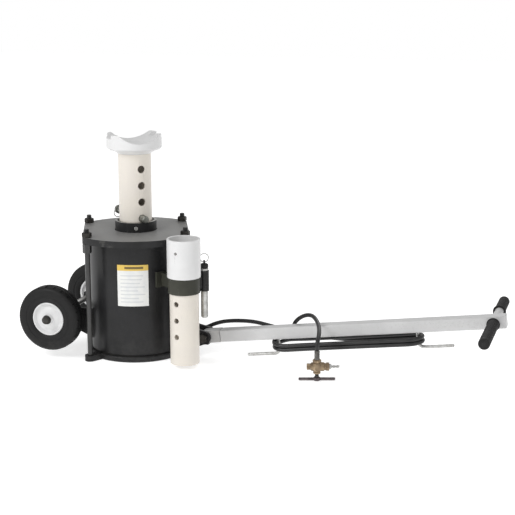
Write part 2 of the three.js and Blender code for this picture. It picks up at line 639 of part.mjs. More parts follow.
function valveGroup() {
  const ferrule = ring(3.4, 8, 22 + GAP, 48, 16);
  add('hose_ferrule', onValve(ferrule), 'steel');
  const body = rod(15, -21, 22, 20)
    .add(hexagon(22, 14, 22))
    .add(bar([-30, 0, 0], [0, 0, 0], 9.5, 16))
    .add(bar([0, 0, 0], [28, 0, 0], 12, 16))
    .add(moved(hexagon(22, 0, 10), [26, 0, 0], [0, 90, 0]))
    .subtract(rod(3.2, -4, 30, 10))
    .subtract(bar([0, 0, 0], [40, 0, 0], 4.6, SMALL))
    .subtract(rod(6.3, -30, -6, SMALL));
  add('valve_body', onValve(body), 'brass');
  const plug = bar([14, 0, 0], [52, 0, 0], 4.3, SMALL)
    .add(moved(hexagon(14, 0, 6), [36 + GAP, 0, 0], [0, 90, 0]))
    .add(bar([52, 0, 0], [58, 0, 0], 3.2, SMALL))
    .add(bar([58, 0, 0], [66, 0, 0], 4.3, SMALL));
  add('valve_plug', onValve(plug), 'steel');
  add('valve_stem', onValve(rod(6, -31.5, -6 - GAP, SMALL)), 'darkSteel');
  const lever = box(-54, 54, -5, 5, -42, -31.5 - GAP)
    .add(rod(10, -42, -31.5 - GAP, 16));
  add('valve_lever', onValve(lever), 'darkSteel');
}

cylinderGroup();
ramGroup();
postGroup();
storageGroup();
wheelGroup();
bracketGroup();
handleGroup();
hoseGroup();
valveGroup();

export default group;
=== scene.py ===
"""Looks of a wheeled air lift jack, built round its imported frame.

Lengths are metres in the row frame: +X runs along the tow handle, +Z is up and the floor is z = 0.
Each sub-assembly is a class that models its pieces with Blender's own operators and dresses them.
"""

import logging
import math
from contextlib import contextmanager
from dataclasses import dataclass, field
from enum import Enum
from typing import Callable, Iterator, Sequence

import bpy
from mathutils import Matrix, Vector

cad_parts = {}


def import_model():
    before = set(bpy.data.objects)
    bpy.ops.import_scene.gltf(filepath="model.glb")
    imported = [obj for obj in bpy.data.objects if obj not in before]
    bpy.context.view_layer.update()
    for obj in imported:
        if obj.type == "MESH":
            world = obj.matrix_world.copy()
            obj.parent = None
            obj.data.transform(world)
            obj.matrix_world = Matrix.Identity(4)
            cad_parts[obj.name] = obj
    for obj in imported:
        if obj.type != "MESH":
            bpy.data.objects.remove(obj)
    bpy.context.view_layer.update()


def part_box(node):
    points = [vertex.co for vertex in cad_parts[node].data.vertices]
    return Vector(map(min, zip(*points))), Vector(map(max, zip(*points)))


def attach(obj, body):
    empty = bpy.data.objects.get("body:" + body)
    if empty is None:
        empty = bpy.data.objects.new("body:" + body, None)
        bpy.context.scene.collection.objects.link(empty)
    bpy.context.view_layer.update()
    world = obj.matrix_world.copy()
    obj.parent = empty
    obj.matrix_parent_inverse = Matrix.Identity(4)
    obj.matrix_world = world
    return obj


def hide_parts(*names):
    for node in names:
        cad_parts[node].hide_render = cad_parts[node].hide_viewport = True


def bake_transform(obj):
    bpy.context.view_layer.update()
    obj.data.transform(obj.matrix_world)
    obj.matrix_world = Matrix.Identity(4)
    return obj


log = logging.getLogger("lift_jack")

Object = bpy.types.Object
Material = bpy.types.Material
Profile = Sequence[tuple[float, float]]
MM = 0.001
ROUND = 96
FINE = 48


class Body(Enum):
    """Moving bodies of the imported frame."""

    CYLINDER = "cylinder"
    RAM = "ram"
    POST = "post"
    SADDLE = "saddle"
    LOCK_PIN = "lock_pin"
    LOCK_RING = "lock_ring"
    EXTENSION = "extension"
    SPARE = "spare"
    SPARE_RING = "spare_ring"
    WHEEL_NEAR = "wheel_near"
    WHEEL_FAR = "wheel_far"
    HANDLE = "handle"
    VALVE_LEVER = "valve_lever"


# ---------------------------------------------------------------------- shader node groups


class NodeSheet:
    """A node tree with short calls for adding and joining nodes."""

    def __init__(self, tree: bpy.types.NodeTree) -> None:
        """Starts on an empty tree.

        Args:
            tree: The node tree to fill.
        """
        self.tree = tree
        self.tree.nodes.clear()

    def node(self, kind: str, **settings: object) -> bpy.types.Node:
        """Adds a node and sets its properties.

        Args:
            kind: Node type name.
            settings: Property values by name.

        Returns:
            The new node.
        """
        made = self.tree.nodes.new(kind)
        for key, value in settings.items():
            setattr(made, key, value)
        return made

    def feed(self, socket: bpy.types.NodeSocket, value: object) -> None:
        """Links a socket to another one, or sets its constant."""
        if isinstance(value, bpy.types.NodeSocket):
            self.tree.links.new(value, socket)
        elif isinstance(value, tuple) and len(value) == 3 and socket.type == "RGBA":
            socket.default_value = (*value, 1.0)
        else:
            socket.default_value = value

    def math(self, operation: str, *values: object, clamp: bool = False) -> bpy.types.NodeSocket:
        """Adds a Math node.

        Args:
            operation: Math operation.
            values: Numbers or sockets, in order.
            clamp: Whether the result is held between 0 and 1.

        Returns:
            The result socket.
        """
        made = self.node("ShaderNodeMath", operation=operation, use_clamp=clamp)
        for socket, value in zip(made.inputs, values):
            self.feed(socket, value)
        return made.outputs[0]

    def spread(self, value: object, low: float, high: float, to_low: float = 0.0,
               to_high: float = 1.0) -> bpy.types.NodeSocket:
        """Maps a range onto another one smoothly, held at its ends.

        Args:
            value: Incoming number or socket.
            low: Lower end that comes in.
            high: Upper end that comes in.
            to_low: Lower end that goes out.
            to_high: Upper end that goes out.

        Returns:
            The result socket.
        """
        made = self.node("ShaderNodeMapRange", interpolation_type="SMOOTHSTEP")
        for name, number in (("Value", value), ("From Min", low), ("From Max", high),
                             ("To Min", to_low), ("To Max", to_high)):
            self.feed(made.inputs[name], number)
        return made.outputs[0]

    def noise(self, vector: bpy.types.NodeSocket, scale: object, detail: float = 3.0,
              roughness: float = 0.55) -> bpy.types.NodeSocket:
        """Adds a noise texture.

        Args:
            vector: Coordinates.
            scale: Cells in a metre.
            detail: Octaves.
            roughness: Weight of the finer octaves.

        Returns:
            The noise value, from 0 to 1.
        """
        made = self.node("ShaderNodeTexNoise")
        self.feed(made.inputs["Vector"], vector)
        self.feed(made.inputs["Scale"], scale)
        self.feed(made.inputs["Detail"], detail)
        self.feed(made.inputs["Roughness"], roughness)
        return made.outputs["Fac"]

    def mix(self, share: object, first: object, second: object) -> bpy.types.NodeSocket:
        """Mixes two colours.

        Args:
            share: Share of the second colour.
            first: Colour or socket.
            second: Colour or socket.

        Returns:
            The mixed colour.
        """
        made = self.node("ShaderNodeMix", data_type="RGBA")
        self.feed(made.inputs["Factor"], share)
        self.feed(made.inputs[6], first)
        self.feed(made.inputs[7], second)
        return made.outputs[2]


class Effects:
    """Shader node groups that several finishes share, each built once."""

    def __init__(self) -> None:
        """Starts with no group built."""
        self.built: dict[str, bpy.types.NodeTree] = {}

    def group(self, name: str, inputs: dict[str, float], outputs: Sequence[str],
              draw: Callable[[NodeSheet, bpy.types.Node], Sequence[bpy.types.NodeSocket]]
              ) -> bpy.types.NodeTree:
        """Builds a node group, or returns the one that is there.

        Args:
            name: Group name.
            inputs: Input names with their default values.
            outputs: Output names.
            draw: Function that adds the group's nodes and returns what feeds its outputs.

        Returns:
            The node group.
        """
        if name in self.built:
            return self.built[name]
        tree = bpy.data.node_groups.new(name, "ShaderNodeTree")
        for key, value in inputs.items():
            socket = tree.interface.new_socket(key, in_out="INPUT", socket_type="NodeSocketFloat")
            socket.default_value = value
        for key in outputs:
            tree.interface.new_socket(key, in_out="OUTPUT", socket_type="NodeSocketFloat")
        sheet = NodeSheet(tree)
        entry = sheet.node("NodeGroupInput")
        leave = sheet.node("NodeGroupOutput")
        for socket, value in zip(leave.inputs, draw(sheet, entry)):
            sheet.feed(socket, value)
        self.built[name] = tree
        return tree

    def place(self, sheet: NodeSheet, tree: bpy.types.NodeTree, **values: object) -> bpy.types.Node:
        """Puts a group into a material with its own values.

        Args:
            sheet: The material's sheet.
            tree: The group.
            values: Input values, with underscores for spaces.

        Returns:
            The group node.
        """
        made = sheet.node("ShaderNodeGroup", node_tree=tree)
        for key, value in values.items():
            sheet.feed(made.inputs[key.replace("_", " ").capitalize()], value)
        return made

    def edge_wear(self) -> bpy.types.NodeTree:
        """Mask of rubbed and chipped edges."""

        def draw(sheet: NodeSheet, entry: bpy.types.Node) -> list[bpy.types.NodeSocket]:
            """Draws the group's nodes on the sheet and returns what it puts out."""
            place = sheet.node("ShaderNodeTexCoord").outputs["Object"]
            edge = sheet.node("ShaderNodeNewGeometry").outputs["Pointiness"]
            broken = sheet.noise(place, entry.outputs["Breakup"], 6.0, 0.7)
            lifted = sheet.math("MULTIPLY_ADD", sheet.math("SUBTRACT", broken, 0.5), 0.25, edge)
            mask = sheet.spread(lifted, 0.56, 0.62)
            return [sheet.math("MULTIPLY", mask, entry.outputs["Amount"], clamp=True)]

        return self.group("edge_wear", {"Amount": 0.5, "Breakup": 260.0}, ["Mask"], draw)

    def mottle(self) -> bpy.types.NodeTree:
        """Slow, cloudy variation over a surface."""

        def draw(sheet: NodeSheet, entry: bpy.types.Node) -> list[bpy.types.NodeSocket]:
            """Draws the group's nodes on the sheet and returns what it puts out."""
            place = sheet.node("ShaderNodeTexCoord").outputs["Object"]
            broad = sheet.noise(place, entry.outputs["Scale"], 4.0, 0.6)
            return [sheet.spread(broad, 0.3, 0.7)]

        return self.group("mottle", {"Scale": 12.0}, ["Value"], draw)

    def paint_skin(self) -> bpy.types.NodeTree:
        """Height of sprayed enamel: orange peel with a few specks of dust under it."""

        def draw(sheet: NodeSheet, entry: bpy.types.Node) -> list[bpy.types.NodeSocket]:
            """Draws the group's nodes on the sheet and returns what it puts out."""
            place = sheet.node("ShaderNodeTexCoord").outputs["Object"]
            peel = sheet.noise(place, entry.outputs["Peel"], 2.0, 0.4)
            specks = sheet.node("ShaderNodeTexVoronoi", feature="F1")
            sheet.feed(specks.inputs["Vector"], place)
            sheet.feed(specks.inputs["Scale"], 90.0)
            dot = sheet.spread(specks.outputs["Distance"], 0.0, 0.08, 1.0, 0.0)
            return [sheet.math("MULTIPLY_ADD", dot, 0.35, peel)]

        return self.group("paint_skin", {"Peel": 420.0}, ["Height"], draw)

    def scratches(self) -> bpy.types.NodeTree:
        """Mask of fine straight scratches, mostly along the piece's height."""

        def draw(sheet: NodeSheet, entry: bpy.types.Node) -> list[bpy.types.NodeSocket]:
            """Draws the group's nodes on the sheet and returns what it puts out."""
            place = sheet.node("ShaderNodeTexCoord").outputs["Object"]
            masks = []
            for turn, stretch in ((0.15, (1.0, 1.0, 0.03)), (0.6, (1.0, 0.04, 1.0))):
                turned_place = sheet.node("ShaderNodeMapping")
                sheet.feed(turned_place.inputs["Vector"], place)
                turned_place.inputs["Rotation"].default_value = (turn, turn / 2, turn)
                turned_place.inputs["Scale"].default_value = stretch
                grain = sheet.noise(turned_place.outputs[0], entry.outputs["Scale"], 2.0, 0.5)
                off = sheet.math("ABSOLUTE", sheet.math("SUBTRACT", grain, 0.5))
                patch = sheet.spread(sheet.noise(place, 14.0, 2.0), 0.52, 0.66)
                masks.append(sheet.math("MULTIPLY", sheet.spread(off, 0.0, 0.012, 1.0, 0.0), patch))
            both = sheet.math("MAXIMUM", *masks)
            return [sheet.math("MULTIPLY", both, entry.outputs["Amount"], clamp=True)]

        return self.group("scratches", {"Scale": 160.0, "Amount": 0.4}, ["Mask"], draw)

    def settled_dust(self) -> bpy.types.NodeTree:
        """Mask of dust: on faces that look up and towards the floor."""

        def draw(sheet: NodeSheet, entry: bpy.types.Node) -> list[bpy.types.NodeSocket]:
            """Draws the group's nodes on the sheet and returns what it puts out."""
            place = sheet.node("ShaderNodeTexCoord").outputs["Object"]
            parts = sheet.node("ShaderNodeSeparateXYZ")
            sheet.feed(parts.inputs[0], place)
            low = sheet.spread(parts.outputs["Z"], 0.0, 0.12, 1.0, 0.0)
            facing = sheet.node("ShaderNodeSeparateXYZ")
            sheet.feed(facing.inputs[0], sheet.node("ShaderNodeNewGeometry").outputs["Normal"])
            up = sheet.spread(facing.outputs["Z"], 0.4, 1.0, 0.0, 0.6)
            patchy = sheet.spread(sheet.noise(place, 38.0, 6.0, 0.65), 0.38, 0.7)
            lies = sheet.math("MULTIPLY", sheet.math("MAXIMUM", low, up), patchy)
            return [sheet.math("MULTIPLY", lies, entry.outputs["Amount"], clamp=True)]

        return self.group("settled_dust", {"Amount": 0.2}, ["Mask"], draw)

    def machined(self) -> bpy.types.NodeTree:
        """Fine tool lines that run round a turned piece or across a drawn one."""

        def draw(sheet: NodeSheet, entry: bpy.types.Node) -> list[bpy.types.NodeSocket]:
            """Draws the group's nodes on the sheet and returns what it puts out."""
            place = sheet.node("ShaderNodeTexCoord").outputs["Object"]
            squeeze = sheet.node("ShaderNodeMapping")
            sheet.feed(squeeze.inputs["Vector"], place)
            squeeze.inputs["Scale"].default_value = (0.05, 0.05, 1.0)
            lines = sheet.noise(squeeze.outputs[0], entry.outputs["Scale"], 3.0, 0.7)
            return [lines]

        return self.group("machined", {"Scale": 900.0}, ["Height"], draw)


# ---------------------------------------------------------------------- finishes

EFFECTS = Effects()


def principled(sheet: NodeSheet) -> bpy.types.Node:
    """Adds a Principled BSDF joined to the material's output.

    Args:
        sheet: The material's sheet.

    Returns:
        The shader node.
    """
    shader = sheet.node("ShaderNodeBsdfPrincipled")
    out = sheet.node("ShaderNodeOutputMaterial")
    sheet.tree.links.new(shader.outputs[0], out.inputs["Surface"])
    return shader


def bumped(sheet: NodeSheet, height: bpy.types.NodeSocket, strength: float,
           depth: float) -> bpy.types.NodeSocket:
    """Turns a height into a normal.

    Args:
        sheet: The material's sheet.
        height: Height from 0 to 1.
        strength: Share of the effect.
        depth: Depth of the relief in metres.

    Returns:
        The normal socket.
    """
    bump = sheet.node("ShaderNodeBump")
    bump.inputs["Strength"].default_value = strength
    bump.inputs["Distance"].default_value = depth
    sheet.feed(bump.inputs["Height"], height)
    return bump.outputs["Normal"]


@dataclass(frozen=True)
class Enamel:
    """Sprayed and baked enamel over steel, with chips down to the metal at its edges."""

    slot: str
    colour: tuple[float, float, float]
    shade: tuple[float, float, float]
    roughness: float
    wear: float
    dust: float
    coat: float = 0.3
    gloss: float = 0.5
    bare: tuple[float, float, float] = (0.22, 0.215, 0.20)

    def material(self) -> Material:
        """Builds the material."""
        made = bpy.data.materials.new(self.slot)
        made.use_nodes = True
        sheet = NodeSheet(made.node_tree)
        shader = principled(sheet)
        cloud = EFFECTS.place(sheet, EFFECTS.mottle(), scale=9.0).outputs[0]
        chip = EFFECTS.place(sheet, EFFECTS.edge_wear(), amount=self.wear, breakup=240.0).outputs[0]
        line = EFFECTS.place(sheet, EFFECTS.scratches(), scale=170.0, amount=0.4 * self.wear).outputs[0]
        dusty = EFFECTS.place(sheet, EFFECTS.settled_dust(), amount=self.dust).outputs[0]
        skin = EFFECTS.place(sheet, EFFECTS.paint_skin(), peel=430.0).outputs[0]
        worn = sheet.math("MAXIMUM", chip, line)
        colour = sheet.mix(cloud, self.colour, self.shade)
        colour = sheet.mix(worn, colour, self.bare)
        colour = sheet.mix(dusty, colour, (0.36, 0.34, 0.31))
        sheet.feed(shader.inputs["Base Color"], colour)
        rough = sheet.math("MULTIPLY_ADD", cloud, 0.08, self.roughness)
        rough = sheet.math("MULTIPLY_ADD", worn, 0.18, rough)
        sheet.feed(shader.inputs["Roughness"], sheet.math("MULTIPLY_ADD", dusty, 0.4, rough, clamp=True))
        sheet.feed(shader.inputs["Metallic"], sheet.math("MULTIPLY", worn, 0.85))
        shader.inputs["Specular IOR Level"].default_value = self.gloss
        shader.inputs["Coat Weight"].default_value = self.coat
        shader.inputs["Coat Roughness"].default_value = 0.12
        height = sheet.math("MULTIPLY_ADD", worn, -0.8, skin)
        sheet.feed(shader.inputs["Normal"], bumped(sheet, height, 0.35, 0.0002))
        return made


@dataclass(frozen=True)
class BareMetal:
    """Plated, ground, cast or oiled metal with tool lines and tarnish."""

    slot: str
    colour: tuple[float, float, float]
    tarnish: tuple[float, float, float]
    roughness: float
    lines: float
    relief: float = 0.00006
    dust: float = 0.1

    def material(self) -> Material:
        """Builds the material."""
        made = bpy.data.materials.new(self.slot)
        made.use_nodes = True
        sheet = NodeSheet(made.node_tree)
        shader = principled(sheet)
        cloud = EFFECTS.place(sheet, EFFECTS.mottle(), scale=65.0).outputs[0]
        lines = EFFECTS.place(sheet, EFFECTS.machined(), scale=self.lines).outputs[0]
        rubbed = EFFECTS.place(sheet, EFFECTS.edge_wear(), amount=0.6, breakup=300.0).outputs[0]
        dusty = EFFECTS.place(sheet, EFFECTS.settled_dust(), amount=self.dust).outputs[0]
        bright = tuple(min(1.0, 1.5 * c + 0.05) for c in self.colour)
        colour = sheet.mix(cloud, self.colour, self.tarnish)
        colour = sheet.mix(rubbed, colour, bright)
        sheet.feed(shader.inputs["Base Color"], sheet.mix(dusty, colour, (0.30, 0.28, 0.25)))
        shader.inputs["Metallic"].default_value = 1.0
        rough = sheet.math("MULTIPLY_ADD", cloud, 0.14, self.roughness)
        rough = sheet.math("MULTIPLY_ADD", lines, 0.1, rough)
        sheet.feed(shader.inputs["Roughness"], sheet.math("MULTIPLY_ADD", dusty, 0.3, rough, clamp=True))
        height = sheet.math("MULTIPLY_ADD", cloud, 0.6, lines)
        sheet.feed(shader.inputs["Normal"], bumped(sheet, height, 0.4, self.relief))
        return made


@dataclass(frozen=True)
class MouldedRubber:
    """Moulded black rubber: matte, grainy and dusty where it is handled or rolls."""

    slot: str
    colour: tuple[float, float, float]
    roughness: float
    grain: float
    dust: float

    def material(self) -> Material:
        """Builds the material."""
        made = bpy.data.materials.new(self.slot)
        made.use_nodes = True
        sheet = NodeSheet(made.node_tree)
        shader = principled(sheet)
        place = sheet.node("ShaderNodeTexCoord").outputs["Object"]
        cloud = EFFECTS.place(sheet, EFFECTS.mottle(), scale=30.0).outputs[0]
        scuff = EFFECTS.place(sheet, EFFECTS.edge_wear(), amount=0.5, breakup=420.0).outputs[0]
        dusty = EFFECTS.place(sheet, EFFECTS.settled_dust(), amount=self.dust).outputs[0]
        pale = tuple(3.2 * c + 0.02 for c in self.colour)
        colour = sheet.mix(cloud, self.colour, tuple(1.7 * c for c in self.colour))
        colour = sheet.mix(scuff, colour, pale)
        sheet.feed(shader.inputs["Base Color"], sheet.mix(dusty, colour, (0.16, 0.15, 0.135)))
        rough = sheet.math("MULTIPLY_ADD", cloud, 0.12, self.roughness)
        sheet.feed(shader.inputs["Roughness"], sheet.math("MULTIPLY_ADD", scuff, 0.2, rough, clamp=True))
        shader.inputs["Specular IOR Level"].default_value = 0.28
        grain = sheet.noise(place, self.grain, 4.0, 0.65)
        sheet.feed(shader.inputs["Normal"], bumped(sheet, grain, 0.45, 0.0003))
        return made


@dataclass(frozen=True)
class HoseCover:
    """Smooth hose cover with a faint cloth wrap impression that follows the hose's own UV map."""

    slot: str

    def material(self) -> Material:
        """Builds the material."""
        made = bpy.data.materials.new(self.slot)
        made.use_nodes = True
        sheet = NodeSheet(made.node_tree)
        shader = principled(sheet)
        chart = sheet.node("ShaderNodeUVMap", uv_map="UVMap").outputs[0]
        parts = sheet.node("ShaderNodeSeparateXYZ")
        sheet.feed(parts.inputs[0], chart)
        cross = sheet.math("MULTIPLY", parts.outputs["Y"], 22.0)
        slant = sheet.math("MULTIPLY_ADD", parts.outputs["X"], 1.0, cross)
        wrap = sheet.math("PINGPONG", slant, 0.5)
        ridge = sheet.spread(wrap, 0.0, 0.16)
        cloud = EFFECTS.place(sheet, EFFECTS.mottle(), scale=26.0).outputs[0]
        dusty = EFFECTS.place(sheet, EFFECTS.settled_dust(), amount=0.12).outputs[0]
        colour = sheet.mix(cloud, (0.008, 0.008, 0.009), (0.018, 0.018, 0.018))
        sheet.feed(shader.inputs["Base Color"], sheet.mix(dusty, colour, (0.12, 0.115, 0.105)))
        sheet.feed(shader.inputs["Roughness"], sheet.math("MULTIPLY_ADD", cloud, 0.14, 0.34))
        sheet.feed(shader.inputs["Normal"], bumped(sheet, ridge, 0.3, 0.00015))
        return made


@dataclass(frozen=True)
class PrintedLabel:
    """White vinyl sheet with an amber head band and plain grey rules in place of any wording."""

    slot: str
    rows: float = 11.0

    def material(self) -> Material:
        """Builds the material."""
        made = bpy.data.materials.new("printed_label")
        made.use_nodes = True
        sheet = NodeSheet(made.node_tree)
        shader = principled(sheet)
        chart = sheet.node("ShaderNodeUVMap", uv_map="UVMap").outputs[0]
        parts = sheet.node("ShaderNodeSeparateXYZ")
        sheet.feed(parts.inputs[0], chart)
        across, up = parts.outputs["X"], parts.outputs["Y"]
        head = sheet.math("GREATER_THAN", up, 0.86)
        bar_up = sheet.math("LESS_THAN", sheet.math("ABSOLUTE", sheet.math("SUBTRACT", up, 0.93)), 0.028)
        from_middle = sheet.math("ABSOLUTE", sheet.math("SUBTRACT", across, 0.54))
        bar_across = sheet.math("LESS_THAN", from_middle, 0.30)
        head_bar = sheet.math("MULTIPLY", bar_up, bar_across)
        wave = sheet.math("FRACT", sheet.math("MULTIPLY", up, self.rows))
        line = sheet.math("LESS_THAN", wave, 0.3)
        ragged = sheet.math("LESS_THAN", across, sheet.math(
            "MULTIPLY_ADD", sheet.math("SINE", sheet.math("MULTIPLY", sheet.math("FLOOR", sheet.math(
                "MULTIPLY", up, self.rows)), 2.7)), 0.12, 0.78))
        inset = sheet.math("GREATER_THAN", across, 0.1)
        below_head = sheet.math("LESS_THAN", up, 0.8)
        field_part = sheet.math("MULTIPLY", below_head, sheet.math("GREATER_THAN", up, 0.08))
        inner_part = sheet.math("MULTIPLY", inset, field_part)
        rule = sheet.math("MULTIPLY", sheet.math("MULTIPLY", line, ragged), inner_part)
        cloud = EFFECTS.place(sheet, EFFECTS.mottle(), scale=40.0).outputs[0]
        colour = sheet.mix(cloud, (0.80, 0.80, 0.77), (0.72, 0.73, 0.73))
        colour = sheet.mix(sheet.math("MULTIPLY", rule, 0.35), colour, (0.35, 0.38, 0.42))
        colour = sheet.mix(head, colour, (0.72, 0.50, 0.10))
        colour = sheet.mix(head_bar, colour, (0.16, 0.11, 0.03))
        sheet.feed(shader.inputs["Base Color"], colour)
        sheet.feed(shader.inputs["Roughness"], sheet.math("MULTIPLY_ADD", cloud, 0.12, 0.34))
        print_skin = EFFECTS.place(sheet, EFFECTS.paint_skin(), peel=700.0).outputs[0]
        sheet.feed(shader.inputs["Normal"], bumped(sheet, print_skin, 0.15, 0.0001))
        return made


Finish = Enamel | BareMetal | MouldedRubber | HoseCover | PrintedLabel

BLACK = Enamel("black_enamel", (0.012, 0.012, 0.0125), (0.020, 0.020, 0.021), 0.28, 0.15, 0.04, coat=0.0,
               gloss=0.24)
# Lighter copy of the black enamel for the top plate's up-facing faces: its grey base colour is a painted
# reflection of the bright surroundings; its dust mask is real dust.
PAINTED_SHEEN_LID = Enamel("black_enamel", (0.16, 0.16, 0.158), (0.22, 0.22, 0.217), 0.34, 0.15, 0.25, coat=0.0,
             gloss=0.5)
SATIN = Enamel("black_enamel", (0.022, 0.022, 0.022), (0.045, 0.045, 0.044), 0.30, 0.40, 0.05, coat=0.0,
               gloss=0.55)
CREAM = Enamel("white_enamel", (0.76, 0.71, 0.63), (0.72, 0.675, 0.615), 0.34, 0.25, 0.05, coat=0.1)
WHITE = Enamel("white_enamel", (0.73, 0.73, 0.73), (0.68, 0.68, 0.68), 0.32, 0.25, 0.05, coat=0.1)
SILVER = Enamel("white_enamel", (0.60, 0.60, 0.60), (0.54, 0.54, 0.54), 0.34, 0.25, 0.05, coat=0.1)
OLIVE = Enamel("olive_enamel", (0.030, 0.031, 0.023), (0.046, 0.047, 0.035), 0.50, 0.40, 0.06, coat=0.0,
               gloss=0.3)
PLATED = BareMetal("plated_steel", (0.56, 0.56, 0.55), (0.40, 0.395, 0.38), 0.30, 700.0)
CRIMPED = BareMetal("plated_steel", (0.20, 0.195, 0.185), (0.12, 0.115, 0.11), 0.42, 500.0)
OILED = BareMetal("plated_steel", (0.30, 0.305, 0.28), (0.17, 0.172, 0.155), 0.36, 600.0)
BOLT = BareMetal("plated_steel", (0.085, 0.082, 0.078), (0.05, 0.047, 0.043), 0.40, 600.0)
DARK = BareMetal("dark_steel", (0.075, 0.072, 0.068), (0.045, 0.042, 0.038), 0.42, 600.0)
LEVER = BareMetal("dark_steel", (0.19, 0.165, 0.17), (0.10, 0.085, 0.09), 0.48, 500.0)
CHROMED = BareMetal("chromed_ram", (0.62, 0.62, 0.62), (0.50, 0.50, 0.50), 0.12, 1400.0, relief=0.00002)
IRON = BareMetal("piston_iron", (0.16, 0.155, 0.15), (0.11, 0.105, 0.10), 0.45, 500.0)
BRASS = BareMetal("valve_brass", (0.36, 0.275, 0.18), (0.23, 0.17, 0.115), 0.42, 420.0, relief=0.0002)
BRONZE = BareMetal("bush_bronze", (0.46, 0.31, 0.15), (0.36, 0.23, 0.10), 0.3, 800.0)
SEAL = MouldedRubber("seal_rubber", (0.012, 0.012, 0.012), 0.55, 900.0, 0.08)
TYRE = MouldedRubber("tyre_rubber", (0.006, 0.006, 0.006), 0.50, 700.0, 0.10)
GRIP = MouldedRubber("grip_rubber", (0.010, 0.010, 0.010), 0.58, 1100.0, 0.1)
HOSE = HoseCover("hose_rubber")
LABEL = PrintedLabel("white_enamel")


class Paintshop:
    """Builds each finish once and hands out its material."""

    def __init__(self) -> None:
        """Starts with no material built."""
        self.ready: dict[Finish, Material] = {}

    def get(self, finish: Finish) -> Material:
        """Material of a finish.

        Args:
            finish: The finish.

        Returns:
            Its material.
        """
        if finish not in self.ready:
            self.ready[finish] = finish.material()
        return self.ready[finish]


PAINTSHOP = Paintshop()


# ---------------------------------------------------------------------- modelling by operators


@dataclass(frozen=True)
class Span:
    """Box of a CAD node in the row frame."""

    low: Vector
    high: Vector

    @classmethod
    def of(cls, node: str) -> "Span":
        """Box of the named node."""
        return cls(*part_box(node))

    @property
    def centre(self) -> Vector:
        """Middle of the box."""
        return (self.low + self.high) / 2

    @property
    def at(self) -> tuple[float, float]:
        """Middle of the box in plan."""
        return self.centre.x, self.centre.y


def clear_selection() -> None:
    """Leaves edit mode and deselects every object."""
    if bpy.context.object and bpy.context.object.mode != "OBJECT":
        bpy.ops.object.mode_set(mode="OBJECT")
    bpy.ops.object.select_all(action="DESELECT")


def pick(obj: Object) -> None:
    """Makes one object the only selected and the active one."""
    clear_selection()
    obj.select_set(True)
    bpy.context.view_layer.objects.active = obj


@contextmanager
def editing(obj: Object) -> Iterator[None]:
    """Edit mode on one object for the length of a with block.

    Args:
        obj: The object to edit.
    """
    pick(obj)
    bpy.ops.object.mode_set(mode="EDIT")
    try:
        yield
    finally:
        bpy.ops.object.mode_set(mode="OBJECT")


def rest_at_origin(obj: Object) -> Object:
    """Moves an object's place into its mesh."""
    pick(obj)
    bpy.ops.object.transform_apply(location=True, rotation=True, scale=True)
    return obj


def placed(obj: Object, matrix: Matrix) -> Object:
    """Moves a piece by a matrix and keeps its object at the origin.

    Args:
        obj: The piece.
        matrix: Where it goes.

    Returns:
        The piece.
    """
    obj.matrix_world = matrix @ obj.matrix_world
    return rest_at_origin(obj)


def tidied(obj: Object) -> Object:
    """Merges doubles and turns all faces outward."""
    with editing(obj):
        bpy.ops.mesh.select_all(action="SELECT")
        bpy.ops.mesh.remove_doubles(threshold=1e-6)
        bpy.ops.mesh.normals_make_consistent(inside=False)
    return obj


def turned(profile: Profile, at: tuple[float, float] = (0.0, 0.0), sides: int = ROUND,
           hollow: bool = False) -> Object:
    """Turns a piece about a vertical axis: a circle is extruded and scaled from step to step.

    Args:
        profile: Radius and height of each step.
        at: Place of the axis in plan.
        sides: Facets round the axis.
        hollow: Whether the profile closes on itself, as a tube's does, or is capped at both ends.

    Returns:
        The new object.
    """
    clear_selection()
    radius, height = profile[0]
    bpy.ops.mesh.primitive_circle_add(
        vertices=sides, radius=radius, fill_type="NOTHING" if hollow else "NGON",
        location=(*at, height), enter_editmode=True,
    )
    steps = [*profile[1:], profile[0]] if hollow else profile[1:]
    for wide, high in steps:
        bpy.ops.mesh.extrude_region_move(TRANSFORM_OT_translate={"value": (0.0, 0.0, high - height)})
        if abs(wide - radius) > 1e-9:
            scale = wide / radius
            bpy.ops.transform.resize(value=(scale, scale, 1.0), center_override=(*at, high))
        radius, height = wide, high
    bpy.ops.object.mode_set(mode="OBJECT")
    return rest_at_origin(tidied(bpy.context.object))


def block(low: Sequence[float], high: Sequence[float]) -> Object:
    """Cuts a block from stock between two corners.

    Args:
        low: Lowest corner.
        high: Highest corner.

    Returns:
        The new object.
    """
    clear_selection()
    centre = [(a + b) / 2 for a, b in zip(low, high)]
    bpy.ops.mesh.primitive_cube_add(size=1.0, location=centre)
    made = bpy.context.object
    made.scale = [b - a for a, b in zip(low, high)]
    return rest_at_origin(made)


def toward(direction: Sequence[float], origin: Sequence[float]) -> Matrix:
    """Matrix that lays +Z along a direction and starts at a point."""
    turn = Vector(direction).to_track_quat("Z", "Y").to_matrix().to_4x4()
    return Matrix.Translation(Vector(origin)) @ turn


def peg(radius: float, start: Sequence[float], end: Sequence[float], sides: int = FINE) -> Object:
    """Round bar between two points.

    Args:
        radius: Radius of the bar.
        start: First end.
        end: Second end.
        sides: Facets round it.

    Returns:
        The new object.
    """
    along = Vector(end) - Vector(start)
    made = turned([(radius, 0.0), (radius, along.length)], sides=sides)
    return placed(made, toward(along, start))


def modified(obj: Object, kind: str, **settings: object) -> Object:
    """Adds a modifier and applies it at once.

    Args:
        obj: The piece.
        kind: Modifier type.
        settings: Its properties.

    Returns:
        The piece.
    """
    pick(obj)
    modifier = obj.modifiers.new(kind.lower(), kind)
    for key, value in settings.items():
        setattr(modifier, key, value)
    bpy.ops.object.modifier_apply(modifier=modifier.name)
    return obj


